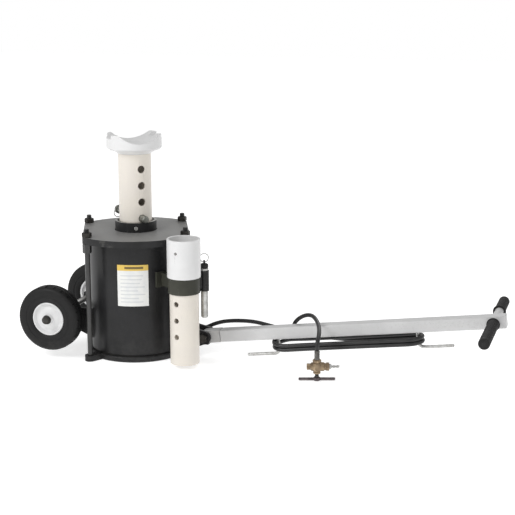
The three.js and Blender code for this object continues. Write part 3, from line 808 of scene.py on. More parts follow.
def combined(obj: Object, operation: str, others: Sequence[Object]) -> Object:
    """Boolean of a piece with others, which are used up."""
    for other in others:
        modified(obj, "BOOLEAN", operation=operation, object=other, solver="MANIFOLD")
        bpy.data.objects.remove(other)
    return obj


def cut(obj: Object, *others: Object) -> Object:
    """Takes other solids away from a piece."""
    return combined(obj, "DIFFERENCE", others)


def fused(obj: Object, *others: Object) -> Object:
    """Joins other solids to a piece."""
    return combined(obj, "UNION", others)


def softened(obj: Object, width: float, segments: int = 2, angle: float = 30.0) -> Object:
    """Rounds a piece's sharp edges.

    Args:
        obj: The piece.
        width: Width of the rounding.
        segments: Steps across it.
        angle: Smallest angle, in degrees, that counts as sharp.

    Returns:
        The piece.
    """
    return modified(obj, "BEVEL", width=width, segments=segments, limit_method="ANGLE",
                    angle_limit=math.radians(angle), use_clamp_overlap=True)


def cast(obj: Object, grain: float, passes: int) -> Object:
    """Gives a piece the soft edges of a casting: an even skin of small faces, then smoothed.

    Args:
        obj: The piece.
        grain: Size of a face.
        passes: Number of smoothing passes.

    Returns:
        The piece.
    """
    modified(obj, "REMESH", mode="VOXEL", voxel_size=grain)
    return modified(obj, "SMOOTH", factor=0.5, iterations=passes)


def hexagonal(flats: float, low: float, high: float, at: tuple[float, float] = (0.0, 0.0),
              bore: float = 0.0, turn: float = 0.0) -> Object:
    """Hexagon nut or head with chamfered corners.

    Args:
        flats: Width across flats.
        low: Bottom height.
        high: Top height.
        at: Place of the axis in plan.
        bore: Radius of its hole, or 0 for none.
        turn: Angle of its first corner, in degrees.

    Returns:
        The new object.
    """
    clear_selection()
    corner = flats / math.sqrt(3)
    bpy.ops.mesh.primitive_cylinder_add(
        vertices=6, radius=corner, depth=high - low, location=(*at, (low + high) / 2),
        rotation=(0.0, 0.0, math.radians(turn)),
    )
    made = rest_at_origin(bpy.context.object)
    rim, drop = flats / 2 * 0.97, (corner - flats / 2) * 0.8
    chamfer = turned([(rim, low), (corner * 1.02, low + drop), (corner * 1.02, high - drop), (rim, high)],
                     at=at, sides=FINE)
    combined(made, "INTERSECT", [chamfer])
    if bore > 0:
        cut(made, turned([(bore, low - 1 * MM), (bore, high + 1 * MM)], at=at, sides=32))
    return softened(made, 0.35 * MM, 2, 25)


def wire_ring(radius: float, wire: float) -> Object:
    """Ring of round wire in the XY plane, spun about Z.

    Args:
        radius: Radius to the middle of the wire.
        wire: Radius of the wire.

    Returns:
        The new object.
    """
    clear_selection()
    bpy.ops.mesh.primitive_circle_add(
        vertices=14, radius=wire, location=(radius, 0.0, 0.0), rotation=(math.pi / 2, 0.0, 0.0),
        enter_editmode=True,
    )
    bpy.ops.mesh.spin(steps=56, angle=2 * math.pi, center=(0.0, 0.0, 0.0), axis=(0.0, 0.0, 1.0))
    bpy.ops.object.mode_set(mode="OBJECT")
    return rest_at_origin(tidied(bpy.context.object))


def weld_bead(radius: float, size: float) -> Object:
    """Rippled weld bead round a joint, in the XY plane.

    Args:
        radius: Radius of the joint.
        size: Radius of the bead.

    Returns:
        The new object.
    """
    bead = wire_ring(radius, size)
    steps = 56
    for vertex in bead.data.vertices:
        angle = math.atan2(vertex.co.y, vertex.co.x)
        ripple = 1.0 + 0.10 * size / radius * math.cos(angle * steps / 4)
        vertex.co.x *= ripple
        vertex.co.y *= ripple
    return bead


def from_frame(node: str, edge: float, segments: int = 2) -> Object:
    """Copy of a flat-sided CAD node with merged faces and rounded edges.

    Args:
        node: CAD node.
        edge: Width of the rounding.
        segments: Steps across it.

    Returns:
        The new object.
    """
    clear_selection()
    source = bpy.data.objects[node]
    made = bpy.data.objects.new("stock", source.data.copy())
    bpy.context.scene.collection.objects.link(made)
    with editing(made):
        bpy.ops.mesh.select_all(action="SELECT")
        bpy.ops.mesh.remove_doubles(threshold=1e-6)
        bpy.ops.mesh.dissolve_limited(angle_limit=math.radians(1.0))
    return softened(made, edge, segments, 28)


def copied(obj: Object, offset: Sequence[float]) -> Object:
    """Copy of a piece with its own mesh, moved by an offset.

    Args:
        obj: The piece.
        offset: How far the copy is moved.

    Returns:
        The copy.
    """
    made = obj.copy()
    made.data = obj.data.copy()
    bpy.context.scene.collection.objects.link(made)
    made.location = Vector(offset)
    return rest_at_origin(made)


def dressed(obj: Object, name: str, body: Body, finish: Finish, *nodes: str, smooth: float = 32.0) -> Object:
    """Finishes a piece: name, smooth shading, material, body, and the CAD nodes that it stands for.

    Args:
        obj: The piece.
        name: Its name.
        body: The body that it moves with.
        finish: Its finish.
        nodes: CAD nodes that it replaces.
        smooth: Angle, in degrees, under which edges are shaded smooth.

    Returns:
        The piece.
    """
    obj.name = obj.data.name = name
    obj.data.materials.clear()
    obj.data.materials.append(PAINTSHOP.get(finish))
    pick(obj)
    bpy.ops.object.shade_smooth_by_angle(angle=math.radians(smooth))
    modified(obj, "WEIGHTED_NORMAL", keep_sharp=True, weight=80)
    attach(obj, body.value)
    if nodes:
        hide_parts(*nodes)
    log.info("%-24s %6d faces on %s", name, len(obj.data.polygons), body.value)
    return obj


def second_finish(obj: Object, finish: Finish, where: Callable[[bpy.types.MeshPolygon], bool]) -> None:
    """Gives some faces of a piece another finish.

    Args:
        obj: The piece.
        finish: The other finish.
        where: Test that picks the faces.
    """
    obj.data.materials.append(PAINTSHOP.get(finish))
    for face in obj.data.polygons:
        if where(face):
            face.material_index = len(obj.data.materials) - 1


# ---------------------------------------------------------------------- studio


@dataclass
class Studio:
    """Camera, pale floor and soft light."""

    eye: tuple[float, float, float] = (1.49672, -3.44738, 1.1392)
    down: float = 12.707
    turn: float = 17.664
    lens: float = 85.14
    sky: float = 0.5

    def camera(self) -> None:
        """Sets up the camera."""
        data = bpy.data.cameras.new("view_camera")
        data.lens = self.lens
        data.sensor_width = 36.0
        data.clip_end = 60.0
        made = bpy.data.objects.new("view_camera", data)
        made.location = self.eye
        made.rotation_euler = (math.radians(90.0 - self.down), 0.0, math.radians(self.turn))
        bpy.context.scene.collection.objects.link(made)
        bpy.context.scene.camera = made

    def light(self, name: str, place: Sequence[float], aim: Sequence[float], size: float,
              power: float) -> None:
        """Adds a square soft light.

        Args:
            name: Its name.
            place: Where it stands.
            aim: What it looks at.
            size: Side of the square.
            power: Watts.
        """
        data = bpy.data.lights.new(name, "AREA")
        data.shape = "SQUARE"
        data.size = size
        data.energy = power
        made = bpy.data.objects.new(name, data)
        made.location = place
        made.rotation_euler = (Vector(aim) - Vector(place)).to_track_quat("-Z", "Y").to_euler()
        bpy.context.scene.collection.objects.link(made)

    def room(self) -> None:
        """Lays the floor, sets the sky and hangs the lights."""
        clear_selection()
        bpy.ops.mesh.primitive_plane_add(size=30.0, location=(0.0, 0.0, -0.0004))
        floor = bpy.context.object
        floor.name = "studio_floor"
        pale = bpy.data.materials.new("studio_floor")
        pale.use_nodes = True
        sheet = NodeSheet(pale.node_tree)
        shader = principled(sheet)
        cloud = EFFECTS.place(sheet, EFFECTS.mottle(), scale=1.5).outputs[0]
        sheet.feed(shader.inputs["Base Color"], sheet.mix(cloud, (0.86, 0.86, 0.86), (0.88, 0.88, 0.88)))
        shader.inputs["Roughness"].default_value = 0.7
        shader.inputs["Specular IOR Level"].default_value = 0.0
        shader.inputs["Emission Color"].default_value = (1.0, 1.0, 1.0, 1.0)
        shader.inputs["Emission Strength"].default_value = 0.58
        floor.data.materials.append(pale)
        world = bpy.data.worlds.new("studio")
        bpy.context.scene.world = world
        world.use_nodes = True
        sky = NodeSheet(world.node_tree)
        seen = sky.node("ShaderNodeLightPath").outputs["Is Camera Ray"]
        backdrop = sky.node("ShaderNodeBackground")
        sky.feed(backdrop.inputs["Color"], (1.0, 1.0, 1.0))
        sky.feed(backdrop.inputs["Strength"], sky.math("MULTIPLY_ADD", seen, 1.0 - self.sky, self.sky))
        sky.tree.links.new(backdrop.outputs[0], sky.node("ShaderNodeOutputWorld").inputs["Surface"])
        self.light("key_light", (-1.5, -2.5, 2.4), (0.0, 0.0, 0.3), 1.4, 54.0)
        self.light("fill_light", (2.6, -1.8, 1.8), (0.3, 0.0, 0.2), 1.8, 10.0)
        self.light("back_light", (0.4, 2.6, 2.4), (0.2, 0.0, 0.3), 1.8, 22.0)
        bpy.context.scene.view_settings.view_transform = "Standard"


# ---------------------------------------------------------------------- tow handle frame


@dataclass
class HandleFrame:
    """Frame of the tow handle: s along the bar, y across it, n above it."""

    tilt: float = math.radians(7.8)

    def matrix(self) -> Matrix:
        """Matrix from the handle's own frame to the row frame."""
        bolt = Span.of("pivot_bolt").centre
        return Matrix.Translation((bolt.x, 0.0, bolt.z)) @ Matrix.Rotation(-self.tilt, 4, "Y")

    def point(self, s: float, y: float, n: float) -> Vector:
        """Row-frame point of a place given in millimetres of the handle's frame."""
        return self.matrix() @ Vector((s * MM, y * MM, n * MM))


# ---------------------------------------------------------------------- air hose


@dataclass
class AirHose:
    """Rubber hose: lead from the cylinder, two turns under the handle bar, tail over it to the valve."""

    frame: HandleFrame
    radius: float = 6.3 * MM
    lead: tuple[tuple[float, float, float], ...] = (
        (185, 44, 72), (196, 44, 72), (216, 44.5, 76), (242, 45.5, 88), (272, 46, 98), (320, 46, 105),
        (375, 48, 105), (430, 49, 96), (480, 50, 86),
    )
    tail: tuple[tuple[float, float, float], ...] = (
        (512, 33, 122), (530, 24, 139), (552, 12, 151), (574, -4, 155), (594, -30, 150), (612, -68, 141),
        (624, -112, 130), (628, -142, 116), (628, -146, 104), (628, -146, 98), (628, -146, 92),
    )
    inner: float = 256.0
    outer: float = 644.0
    half: float = 36.0
    low_turn: float = -47.7
    high_turn: float = -35.1
    sides: int = 16

    def half_turn(self, end: float, sign: float, n0: float, n1: float) -> list[tuple[float, float, float]]:
        """Points round one end of the winding.

        Args:
            end: Place of the bend's centre along the bar.
            sign: 1 at the outer end, -1 at the inner end.
            n0: Height at the start of the bend.
            n1: Height at its end.

        Returns:
            Handle-frame points.
        """
        points = []
        for step in range(9):
            angle = math.pi * step / 8
            points.append((
                end + sign * self.half * math.sin(angle),
                sign * self.half * math.cos(angle),
                n0 + (n1 - n0) * step / 8,
            ))
        return points

    def route(self) -> list[Vector]:
        """The hose's centreline: control points smoothed into a dense path."""
        coil = [(300, 49, -22), (345, 48.5, -31), (395, 48, -40), (450, 44, -46), (520, 37.5, self.low_turn)]
        for level, rise in ((self.low_turn, self.high_turn), (self.high_turn, -19.0)):
            coil += [(580, self.half, level)] if level == self.low_turn else []
            coil += self.half_turn(self.outer, 1.0, level, level)
            coil += [(s, -self.half, level) for s in (580, 515, 450, 385, 320)]
            coil += self.half_turn(self.inner, -1.0, level, rise)
            if level == self.low_turn:
                coil += [(s, 34.0, rise) for s in (320, 385, 450, 515, 580)]
        coil += [(266, 35.5, -8), (276, 34.5, 8)]
        control = [Vector(p) * MM for p in self.lead]
        control += [self.frame.point(*p) for p in coil]
        control += [Vector(p) * MM for p in self.tail]
        return smooth_path(control, 0.004)

    def build(self, pieces: Sequence[Object | str]) -> Object:
        """Args:
            pieces: Ferrule, valve and the other pieces on it; not used.

        Returns:
            The hose.
        """
        path = self.route()
        made = tube_along("air_hose", path, self.radius, self.sides)
        made.data.materials.append(PAINTSHOP.get(HOSE))
        for face in made.data.polygons:
            face.use_smooth = True
        length = sum((b - a).length for a, b in zip(path, path[1:]))
        log.info("air_hose is %.3f m long", length)
        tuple(path[3])
        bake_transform(made)
        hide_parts("hose_lead", "hose_coil", "hose_tail")
        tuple(path[0])
        return made


def smooth_path(control: Sequence[Vector], step: float) -> list[Vector]:
    """Centripetal curve through control points, cut into equal short steps.

    Args:
        control: Points that the path goes through.
        step: Length of a step.

    Returns:
        The dense path.
    """
    points = [control[0] * 2 - control[1], *control, control[-1] * 2 - control[-2]]
    dense: list[Vector] = []
    for p0, p1, p2, p3 in zip(points, points[1:], points[2:], points[3:]):
        t1 = math.sqrt((p1 - p0).length)
        t2 = t1 + math.sqrt((p2 - p1).length)
        t3 = t2 + math.sqrt((p3 - p2).length)
        for part in range(12):
            t = t1 + (t2 - t1) * part / 12
            a1 = p0 * ((t1 - t) / t1) + p1 * (t / t1)
            a2 = p1 * ((t2 - t) / (t2 - t1)) + p2 * ((t - t1) / (t2 - t1))
            a3 = p2 * ((t3 - t) / (t3 - t2)) + p3 * ((t - t2) / (t3 - t2))
            b1 = a1 * ((t2 - t) / t2) + a2 * (t / t2)
            b2 = a2 * ((t3 - t) / (t3 - t1)) + a3 * ((t - t1) / (t3 - t1))
            dense.append(b1 * ((t2 - t) / (t2 - t1)) + b2 * ((t - t1) / (t2 - t1)))
    dense.append(control[-1])
    even = [dense[0]]
    for point in dense[1:]:
        if (point - even[-1]).length >= step:
            even.append(point)
    if (dense[-1] - even[-1]).length > step / 4:
        even.append(dense[-1])
    return even


def tube_along(name: str, path: Sequence[Vector], radius: float, sides: int) -> Object:
    """Closed round tube along a path, with a UV map that runs round and along it.

    Args:
        name: Its name.
        path: Centreline.
        radius: Radius.
        sides: Facets round it.

    Returns:
        The new object.
    """
    normal = Vector((0.0, 0.0, 1.0))
    rings: list[Vector] = []
    distances = [0.0]
    for index, point in enumerate(path):
        ahead = path[min(index + 1, len(path) - 1)] - path[max(index - 1, 0)]
        axis = ahead.normalized()
        normal = (normal - axis * normal.dot(axis)).normalized()
        side = axis.cross(normal)
        for facet in range(sides):
            angle = 2 * math.pi * facet / sides
            rings.append(point + (normal * math.cos(angle) + side * math.sin(angle)) * radius)
        if index:
            distances.append(distances[-1] + (point - path[index - 1]).length)
    faces, charts = [], []
    for ring in range(len(path) - 1):
        for facet in range(sides):
            after = (facet + 1) % sides
            low, high = ring * sides, (ring + 1) * sides
            faces.append((low + facet, low + after, high + after, high + facet))
            u0, u1 = facet / sides, (facet + 1) / sides
            v0, v1 = distances[ring], distances[ring + 1]
            charts += [(u0, v0), (u1, v0), (u1, v1), (u0, v1)]
    last = (len(path) - 1) * sides
    faces.append(tuple(reversed(range(sides))))
    faces.append(tuple(range(last, last + sides)))
    charts += [(0.0, 0.0)] * (2 * sides)
    mesh = bpy.data.meshes.new(name)
    mesh.from_pydata(rings, [], faces)
    layer = mesh.uv_layers.new(name="UVMap")
    for loop, chart in zip(layer.data, charts):
        loop.uv = chart
    made = bpy.data.objects.new(name, mesh)
    bpy.context.scene.collection.objects.link(made)
    return made


# ---------------------------------------------------------------------- air cylinder


@dataclass
class AirCylinder:
    """Base plate, shell, top plate, tie rods and seals."""

    body: Body = Body.CYLINDER
    shell_wall: float = 6 * MM
    rod_radius: float = 8 * MM
    ear_radius: float = 17 * MM
    plate_turn: float = math.radians(23.5)
    plate_radius: float = 200 * MM
    plate_half: float = 163 * MM
    nut_flats: float = 26 * MM
    thread_pitch: float = 2 * MM
    rods: list[Span] = field(default_factory=lambda: [Span.of(f"tie_rod_{n}") for n in range(1, 5)])

    def base(self) -> None:
        """Round base plate with an ear at each tie rod."""
        span = Span.of("base_plate")
        top = span.high.z
        radius = 160 * MM
        plate = turned([(radius - 3 * MM, 0.0), (radius, 3 * MM), (radius, top - 3 * MM),
                        (radius - 3 * MM, top)])
        for rod in self.rods:
            centre = rod.centre
            reach = math.hypot(centre.x, centre.y)
            arm = block((radius - 30 * MM, -self.ear_radius, 0.0), (reach, self.ear_radius, top))
            ear = turned([(self.ear_radius, 0.0), (self.ear_radius, top)], at=(reach, 0.0), sides=FINE)
            arm = fused(arm, ear)
            fused(plate, placed(arm, Matrix.Rotation(math.atan2(centre.y, centre.x), 4, "Z")))
        bores = [turned([(self.rod_radius + 0.3 * MM, 4 * MM), (self.rod_radius + 0.3 * MM, top + MM)],
                        at=rod.at, sides=32) for rod in self.rods]
        made = softened(cut(plate, *bores), 1.2 * MM, 3, 40)
        dressed(made, "base_plate_look", self.body, BLACK, "base_plate")

    def shell(self) -> None:
        """Drum wall with its two gaskets."""
        for node, finish, edge in (("cylinder_shell", BLACK, 0.8 * MM), ("base_gasket", SEAL, 0.3 * MM),
                                   ("top_gasket", SEAL, 0.3 * MM)):
            span = Span.of(node)
            outer = span.high.y
            inner = outer - self.shell_wall
            low, high = span.low.z, span.high.z
            tube = turned([(inner, low), (outer, low), (outer, high), (inner, high)], hollow=True, sides=160)
            dressed(softened(tube, edge), f"{node}_look", self.body, finish, node)

    def plate(self) -> None:
        """Top plate: a disc with two flats, bored for the ram and drilled for the rods."""
        span = Span.of("top_plate")
        low, high = span.low.z, span.high.z
        plate = turned([(self.plate_radius, low), (self.plate_radius, high)], sides=160)
        sides = block((-self.plate_half, -0.3, low - MM), (self.plate_half, 0.3, high + MM))
        combined(plate, "INTERSECT", [placed(sides, Matrix.Rotation(self.plate_turn, 4, "Z"))])
        bores = [turned([(66 * MM, low - MM), (66 * MM, high + MM)])]
        bores += [turned([(self.rod_radius + 0.3 * MM, low - MM), (self.rod_radius + 0.3 * MM, high + MM)],
                         at=rod.at, sides=32) for rod in self.rods]
        plate = softened(cut(plate, *bores), 1.6 * MM, 3, 40)
        dressed(plate, "top_plate_look", self.body, BLACK, "top_plate")
        # Up-facing faces get the lighter grey enamel: a painted reflection on the plate top.
        second_finish(plate, PAINTED_SHEEN_LID, lambda face: face.normal.z > 0.6)

    def tie_rods(self) -> None:
        """Four rods with rolled threads, a hex shoulder and a nut each; one is modelled and copied."""
        first = self.rods[0]
        under = Span.of("top_plate").low.z
        low, high = first.low.z, first.high.z
        r = self.rod_radius
        thread = high - 34 * MM
        profile = [(r - 1.5 * MM, low), (r, low + 1.7 * MM), (r, thread)]
        turns = int((high - thread - 2 * MM) / self.thread_pitch)
        for turn in range(turns):
            z = thread + turn * self.thread_pitch
            profile += [(r - 0.9 * MM, z + 0.5 * self.thread_pitch), (r, z + self.thread_pitch)]
        profile.append((r - 2 * MM, high))
        rod = turned(profile, at=first.at, sides=32)
        shoulder = hexagonal(self.nut_flats - 2 * MM, under - 28.3 * MM, under - 0.3 * MM, at=first.at)
        rod = fused(rod, shoulder)
        nut_span = Span.of("rod_nut_1")
        nut = hexagonal(self.nut_flats, nut_span.low.z, nut_span.high.z, at=nut_span.at, bore=r + 0.2 * MM)
        for number, span in enumerate(self.rods, 1):
            offset = (span.centre.x - first.centre.x, span.centre.y - first.centre.y, 0.0)
            dressed(copied(rod, offset), f"tie_rod_{number}_look", self.body, SATIN, f"tie_rod_{number}")
            dressed(copied(nut, offset), f"rod_nut_{number}_look", self.body, DARK, f"rod_nut_{number}")
        bpy.data.objects.remove(rod)
        bpy.data.objects.remove(nut)

    def guide(self) -> None:
        """Bronze guide bush with its wiper ring."""
        bush, wiper = Span.of("guide_bush"), Span.of("wiper_ring")
        inner, flange, neck = 57.4 * MM, 80 * MM, 65.7 * MM
        shoulder = Span.of("top_plate").low.z - 0.3 * MM
        made = turned([(inner, bush.low.z), (flange, bush.low.z), (flange, shoulder), (neck, shoulder),
                       (neck, bush.high.z), (inner, bush.high.z)], hollow=True)
        dressed(softened(made, 0.8 * MM), "guide_bush_look", self.body, BRONZE, "guide_bush")
        lip = turned([(inner, wiper.low.z), (neck - 0.1 * MM, wiper.low.z), (neck - 0.1 * MM, wiper.high.z),
                      (inner + 2 * MM, wiper.high.z)], hollow=True)
        dressed(softened(lip, 0.4 * MM), "wiper_ring_look", self.body, SEAL, "wiper_ring")

    def label(self, low: float = 177 * MM, high: float = 306 * MM, start: float = -90.0,
              stop: float = -53.5) -> None:
        """Plain sticker on the drum: an edge spun round the drum's axis, then thickened.

        Args:
            low: Bottom of the sticker.
            high: Top of the sticker.
            start: Angle of its left edge, in degrees.
            stop: Angle of its right edge, in degrees.
        """
        reach = Span.of("cylinder_shell").high.y + 0.15 * MM
        a0, a1 = math.radians(start), math.radians(stop)
        clear_selection()
        bpy.ops.mesh.primitive_plane_add(size=high - low, location=(0.0, 0.0, (low + high) / 2),
                                         rotation=(math.pi / 2, 0.0, 0.0))
        made = rest_at_origin(bpy.context.object)
        with editing(made):
            bpy.ops.mesh.select_all(action="SELECT")
            bpy.ops.transform.resize(value=(0.0, 1.0, 1.0), center_override=(0.0, 0.0, 0.0))
            bpy.ops.mesh.remove_doubles(threshold=1e-6)
            bpy.ops.transform.translate(value=(reach * math.cos(a0), reach * math.sin(a0), 0.0))
            bpy.ops.mesh.spin(steps=36, angle=a0 - a1, center=(0.0, 0.0, 0.0), axis=(0.0, 0.0, 1.0))
            bpy.ops.mesh.select_all(action="SELECT")
            bpy.ops.mesh.remove_doubles(threshold=1e-6)
            bpy.ops.mesh.normals_make_consistent(inside=False)
        mesh = made.data
        layer = mesh.uv_layers.active or mesh.uv_layers.new(name="UVMap")
        layer.name = "UVMap"
        centre_angle = (a0 + a1) / 2
        for loop in mesh.loops:
            co = mesh.vertices[loop.vertex_index].co
            angle = math.atan2(co.y, co.x)
            layer.data[loop.index].uv = ((angle - a0) / (a1 - a0), (co.z - low) / (high - low))
        outward = Vector((math.cos(centre_angle), math.sin(centre_angle), 0.0))
        if mesh.polygons[len(mesh.polygons) // 2].normal.dot(outward) < 0:
            mesh.flip_normals()
        modified(made, "SOLIDIFY", thickness=0.15 * MM, offset=1.0)
        dressed(made, "drum_sticker", self.body, LABEL)

    def build(self) -> None:
        """Builds the whole sub-assembly."""
        self.base()
        self.shell()
        self.plate()
        self.tie_rods()
        self.guide()
        self.label()


# ---------------------------------------------------------------------- ram


@dataclass
class Ram:
    """Piston, hollow ram and its screwed collar."""

    body: Body = Body.RAM
    bore: float = 51.6 * MM
    radius: float = 57 * MM
    plate_turn: float = math.radians(23.5)

    def build(self) -> None:
        """Builds the ram tube, the collar and its set screw, and dresses the hidden piston."""
        tube = Span.of("ram_tube")
        made = turned([(self.bore, tube.low.z), (self.radius, tube.low.z), (self.radius, tube.high.z),
                       (self.bore, tube.high.z)], hollow=True)
        made = dressed(softened(made, 0.8 * MM), "ram_tube_look", self.body, CHROMED, "ram_tube")
        second_finish(made, DARK, lambda face: face.normal.z > 0.8)

        span = Span.of("ram_collar")
        inner, outer = self.radius + 0.3 * MM, span.high.y
        out = Vector((math.sin(self.plate_turn), -math.cos(self.plate_turn), 0.0))
        screw_span = Span.of("collar_screw")
        height = screw_span.centre.z
        collar = turned([(inner, span.low.z), (outer, span.low.z), (outer, span.high.z),
                         (inner, span.high.z)],
                        hollow=True)
        level = Vector((0, 0, height))
        collar = cut(collar, peg(3.3 * MM, out * 0.05 + level, out * 0.08 + level, 24))
        collar = dressed(softened(collar, 1.5 * MM, 3, 40), "ram_collar_look", self.body, BLACK, "ram_collar")
        second_finish(collar, PLATED,
                      lambda face: face.normal.z > 0.35 and face.center.z > span.high.z - 2 * MM)

        head = hexagonal(11 * MM, 0.0, 5 * MM)
        head = fused(head, turned([(3 * MM, -7 * MM), (3 * MM, 1 * MM)], sides=24))
        socket = turned([(2.6 * MM, 2 * MM), (2.6 * MM, 6 * MM)], sides=6)
        screw = placed(cut(head, socket), toward(out, out * (outer + 0.3 * MM) + Vector((0, 0, height))))
        dressed(screw, "collar_screw_look", self.body, PLATED, "collar_screw")
        for node, finish in (("piston", IRON), ("piston_cup", SEAL)):
            plain = bpy.data.objects[node]
            plain.data.materials.clear()
            plain.data.materials.append(PAINTSHOP.get(finish))


# ---------------------------------------------------------------------- post and saddle


@dataclass
class Post:
    """Drilled post, cradle saddle and locking pin with its pull ring."""

    wall: float = 6 * MM
    hole: float = 12 * MM
    pitch: float = 50.8 * MM
    hole_turn: float = math.radians(-43.0)
    trough_turn: float = math.radians(-54.0)
    trough: float = 88 * MM
    pin: float = 11 * MM

    def across(self, reach: float, height: float) -> Vector:
        """Point on the axis of a cross hole."""
        return Vector((math.cos(self.hole_turn) * reach, math.sin(self.hole_turn) * reach, height))

    def post(self) -> None:
        """Post tube with its row of cross holes."""
        span = Span.of("post_tube")
        outer = span.high.y
        inner = outer - self.wall
        made = turned([(inner, span.low.z), (outer, span.low.z), (outer, span.high.z), (inner, span.high.z)],
                      hollow=True)
        level = Span.of("lock_pin").centre.z
        for step in range(-3, 4):
            height = level + step * self.pitch
            cut(made, peg(self.hole, self.across(-0.07, height), self.across(0.07, height), 40))
        dressed(softened(made, 0.7 * MM, 2, 40), "post_tube_look", Body.POST, CREAM, "post_tube")

    def saddle(self) -> None:
        """Cast saddle: a turned dish with a trough and a notch across it."""
        span = Span.of("saddle")
        outer, top, seat = span.high.y, span.high.z, Span.of("post_tube").high.z + 0.3 * MM
        spigot = Span.of("post_tube").high.y - self.wall - 0.5 * MM
        made = turned([
            (spigot - 2 * MM, span.low.z), (spigot, span.low.z + 2 * MM), (spigot, seat),
            (spigot + 9 * MM, seat), (spigot + 18 * MM, seat + 7 * MM), (outer - 5 * MM, seat + 13 * MM),
            (outer, seat + 18 * MM), (outer, top),
        ], sides=128)
        along = Vector((math.cos(self.trough_turn), math.sin(self.trough_turn), 0.0))
        dip = Vector((0.0, 0.0, 664 * MM + self.trough))
        trough = peg(self.trough, dip - along * 0.12, dip + along * 0.12, 160)
        notch = block((-0.12, -30 * MM, 677 * MM), (0.12, 30 * MM, 720 * MM))
        notch = placed(notch, Matrix.Rotation(self.trough_turn + math.pi / 2, 4, "Z"))
        made = cast(cut(made, trough, notch), 1.5 * MM, 14)
        dressed(made, "saddle_look", Body.SADDLE, WHITE, "saddle", smooth=180.0)

    def lock(self) -> None:
        """Locking pin, its knob and eye, and the pull ring."""
        level = Span.of("lock_pin").centre.z
        r = self.pin
        shank = turned([
            (r - 3 * MM, -78 * MM), (r, -74.5 * MM), (r, 124 * MM), (r - 1.5 * MM, 125 * MM),
            (14 * MM, 126 * MM), (14 * MM, 137 * MM), (11 * MM, 138 * MM), (4 * MM, 138 * MM),
        ], sides=FINE)
        tab = block((-6 * MM, -2.5 * MM, 136 * MM), (6 * MM, 2.5 * MM, 149 * MM))
        eye = peg(3 * MM, (0.0, -0.01, 143.5 * MM), (0.0, 0.01, 143.5 * MM), 24)
        made = softened(cut(fused(shank, tab), eye), 0.6 * MM, 2, 40)
        back = -self.across(1.0, 0.0)
        side = Vector((0.0, 0.0, 1.0))
        axes = Matrix((side, back.cross(side), back)).transposed().to_4x4()
        axes.translation = (0.0, 0.0, level)
        dressed(placed(made, axes), "lock_pin_look", Body.LOCK_PIN, OILED, "lock_pin")
        ring = Span.of("lock_pin_ring")
        plane = Matrix.Translation(ring.centre) @ Matrix.Rotation(self.hole_turn + math.pi / 2, 4, "Z")
        loop = placed(wire_ring(13 * MM, 1.5 * MM), plane @ Matrix.Rotation(math.pi / 2, 4, "X"))
        dressed(loop, "lock_pin_ring_look", Body.LOCK_RING, PLATED, "lock_pin_ring")

    def build(self) -> None:
        """Builds the whole sub-assembly."""
        self.post()
        self.saddle()
        self.lock()


# ---------------------------------------------------------------------- stored extension


